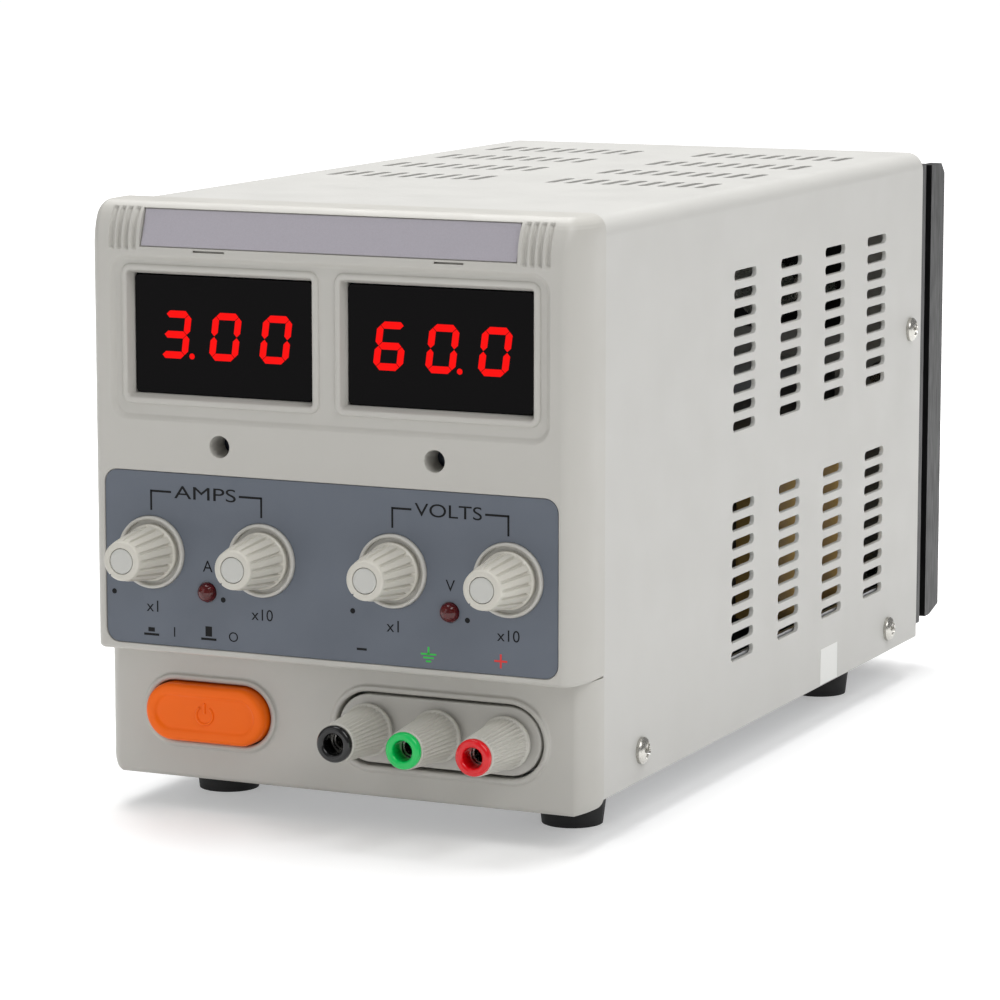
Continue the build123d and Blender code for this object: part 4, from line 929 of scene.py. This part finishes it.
def cover_section(inside):
    """The cover's section as (X, Z): up one side, round the edge, over, and down."""
    turn = np.radians(np.linspace(0, 90, 9))
    radius = COVER_EDGE - inside
    x = COVER_HALF - COVER_EDGE + radius * np.cos(turn)
    z = Z1 + radius * np.sin(turn)
    x = np.concatenate([[COVER_HALF - inside], x, -x[::-1], [-COVER_HALF + inside]])
    z = np.concatenate([[Z0], z, z[::-1], [Z0]])
    return x, z


def section_at(inside, y):
    """The cover's section as points at one depth from the front."""
    x, z = cover_section(inside)
    return np.stack([x, np.full(len(x), y), z], 1)


for inside in (0.0, SHEET):
    strip = np.stack([section_at(inside, y) for y in (Y0, Y1)])
    cover += [sheet_of(strip[:, 1:10]), sheet_of(strip[:, 10:19])]
for y in (Y0, Y1):
    cover.append(sheet_of(np.stack([section_at(i, y) for i in (0.0, SHEET)])))
for side in (-1, 1):
    foot = [[side * COVER_HALF, Y0, Z0], [side * COVER_HALF, Y1, Z0],
            [side * (COVER_HALF - SHEET), Y0, Z0], [side * (COVER_HALF - SHEET), Y1, Z0]]
    cover.append(sheet_of(np.array(foot).reshape(2, 2, 3)))
make_piece("painted_cover", cover, cover_paint, "case", ["top_cover"], 30)

# ---- table, light and camera ----------------------------------------------------------

def stage_floor():
    """A white table: diffuse, with a glow that grows towards white away from the part.

    Only the camera and glossy reflections see the glow, so it lights nothing.
    """
    size = 30.0
    mesh = bpy.data.meshes.new("table")
    corners = [(-size, -size, 0), (size, -size, 0), (size, size, 0), (-size, size, 0)]
    mesh.from_pydata(corners, [], [(0, 1, 2, 3)])
    table = bpy.data.objects.new("table", mesh)
    bpy.context.scene.collection.objects.link(table)
    finish = bpy.data.materials.new("table")
    finish.use_nodes = True
    nodes, link = finish.node_tree.nodes, finish.node_tree.links.new
    shader = nodes["Principled BSDF"]
    shader.inputs["Base Color"].default_value = (0.82, 0.82, 0.82, 1)
    shader.inputs["Roughness"].default_value = 0.9
    shader.inputs["Specular IOR Level"].default_value = 0.1
    path = nodes.new("ShaderNodeLightPath")
    seen = nodes.new("ShaderNodeMath")
    seen.operation = "MAXIMUM"
    link(path.outputs["Is Camera Ray"], seen.inputs[0])
    link(path.outputs["Is Glossy Ray"], seen.inputs[1])
    whole = nodes.new("ShaderNodeAddShader")
    dim = nodes.new("ShaderNodeEmission")
    place = nodes.new("ShaderNodeTexCoord")
    reach = nodes.new("ShaderNodeVectorMath")
    reach.operation = "LENGTH"
    link(place.outputs["Object"], reach.inputs[0])
    rise = nodes.new("ShaderNodeMapRange")
    rise.inputs["From Min"].default_value = 0.3
    rise.inputs["From Max"].default_value = 2.2
    rise.inputs["To Min"].default_value = 0.30
    rise.inputs["To Max"].default_value = 0.78
    link(reach.outputs["Value"], rise.inputs["Value"])
    link(rise.outputs["Result"], dim.inputs["Strength"])
    link(seen.outputs["Value"], dim.inputs["Color"])
    link(shader.outputs["BSDF"], whole.inputs[0])
    link(dim.outputs["Emission"], whole.inputs[1])
    link(whole.outputs["Shader"], nodes["Material Output"].inputs["Surface"])
    mesh.materials.append(finish)


def soft_lamp(name, place, aim, size, watts):
    """A square soft box at a place, turned to face a point, in metres."""
    light = bpy.data.lights.new(name, "AREA")
    light.shape = "SQUARE"
    light.size = size
    light.energy = watts
    made = bpy.data.objects.new(name, light)
    bpy.context.scene.collection.objects.link(made)
    made.location = place
    made.rotation_euler = (Vector(aim) - Vector(place)).to_track_quat("-Z", "Y").to_euler()


stage_floor()
soft_lamp("key", (1.5, -0.7, 1.7), (0, 0, 0.08), 1.3, 19)
soft_lamp("overhead", (-0.2, 0.5, 2.0), (0, 0, 0.1), 1.6, 46)
soft_lamp("fill", (-1.2, -1.8, 0.9), (0, 0, 0.08), 1.6, 7)

world = bpy.data.worlds.new("studio")
bpy.context.scene.world = world
world.use_nodes = True
sky_nodes, sky_link = world.node_tree.nodes, world.node_tree.links.new
sky = sky_nodes["Background"]
path = sky_nodes.new("ShaderNodeLightPath")
white = sky_nodes.new("ShaderNodeMapRange")
white.inputs["To Min"].default_value = 0.30
white.inputs["To Max"].default_value = 1.0
sky_link(path.outputs["Is Camera Ray"], white.inputs["Value"])
sky_link(white.outputs["Result"], sky.inputs["Strength"])
sky.inputs["Color"].default_value = (1, 1, 1, 1)

eye = bpy.data.cameras.new("camera")
eye.sensor_width = 36.0
eye.lens = 149.4
eye.clip_end = 60.0
camera = bpy.data.objects.new("camera", eye)
bpy.context.scene.collection.objects.link(camera)
camera.location = (0.4639, (FRONT - 912.9) * MM, 0.2463)
LOOK_DOWN, LOOK_ASIDE = 8.907, 24.503    # degrees
camera.rotation_euler = Euler((radians(90 - LOOK_DOWN), 0.0, radians(LOOK_ASIDE)))
bpy.context.scene.camera = camera
bpy.context.scene.view_settings.view_transform = "Standard"
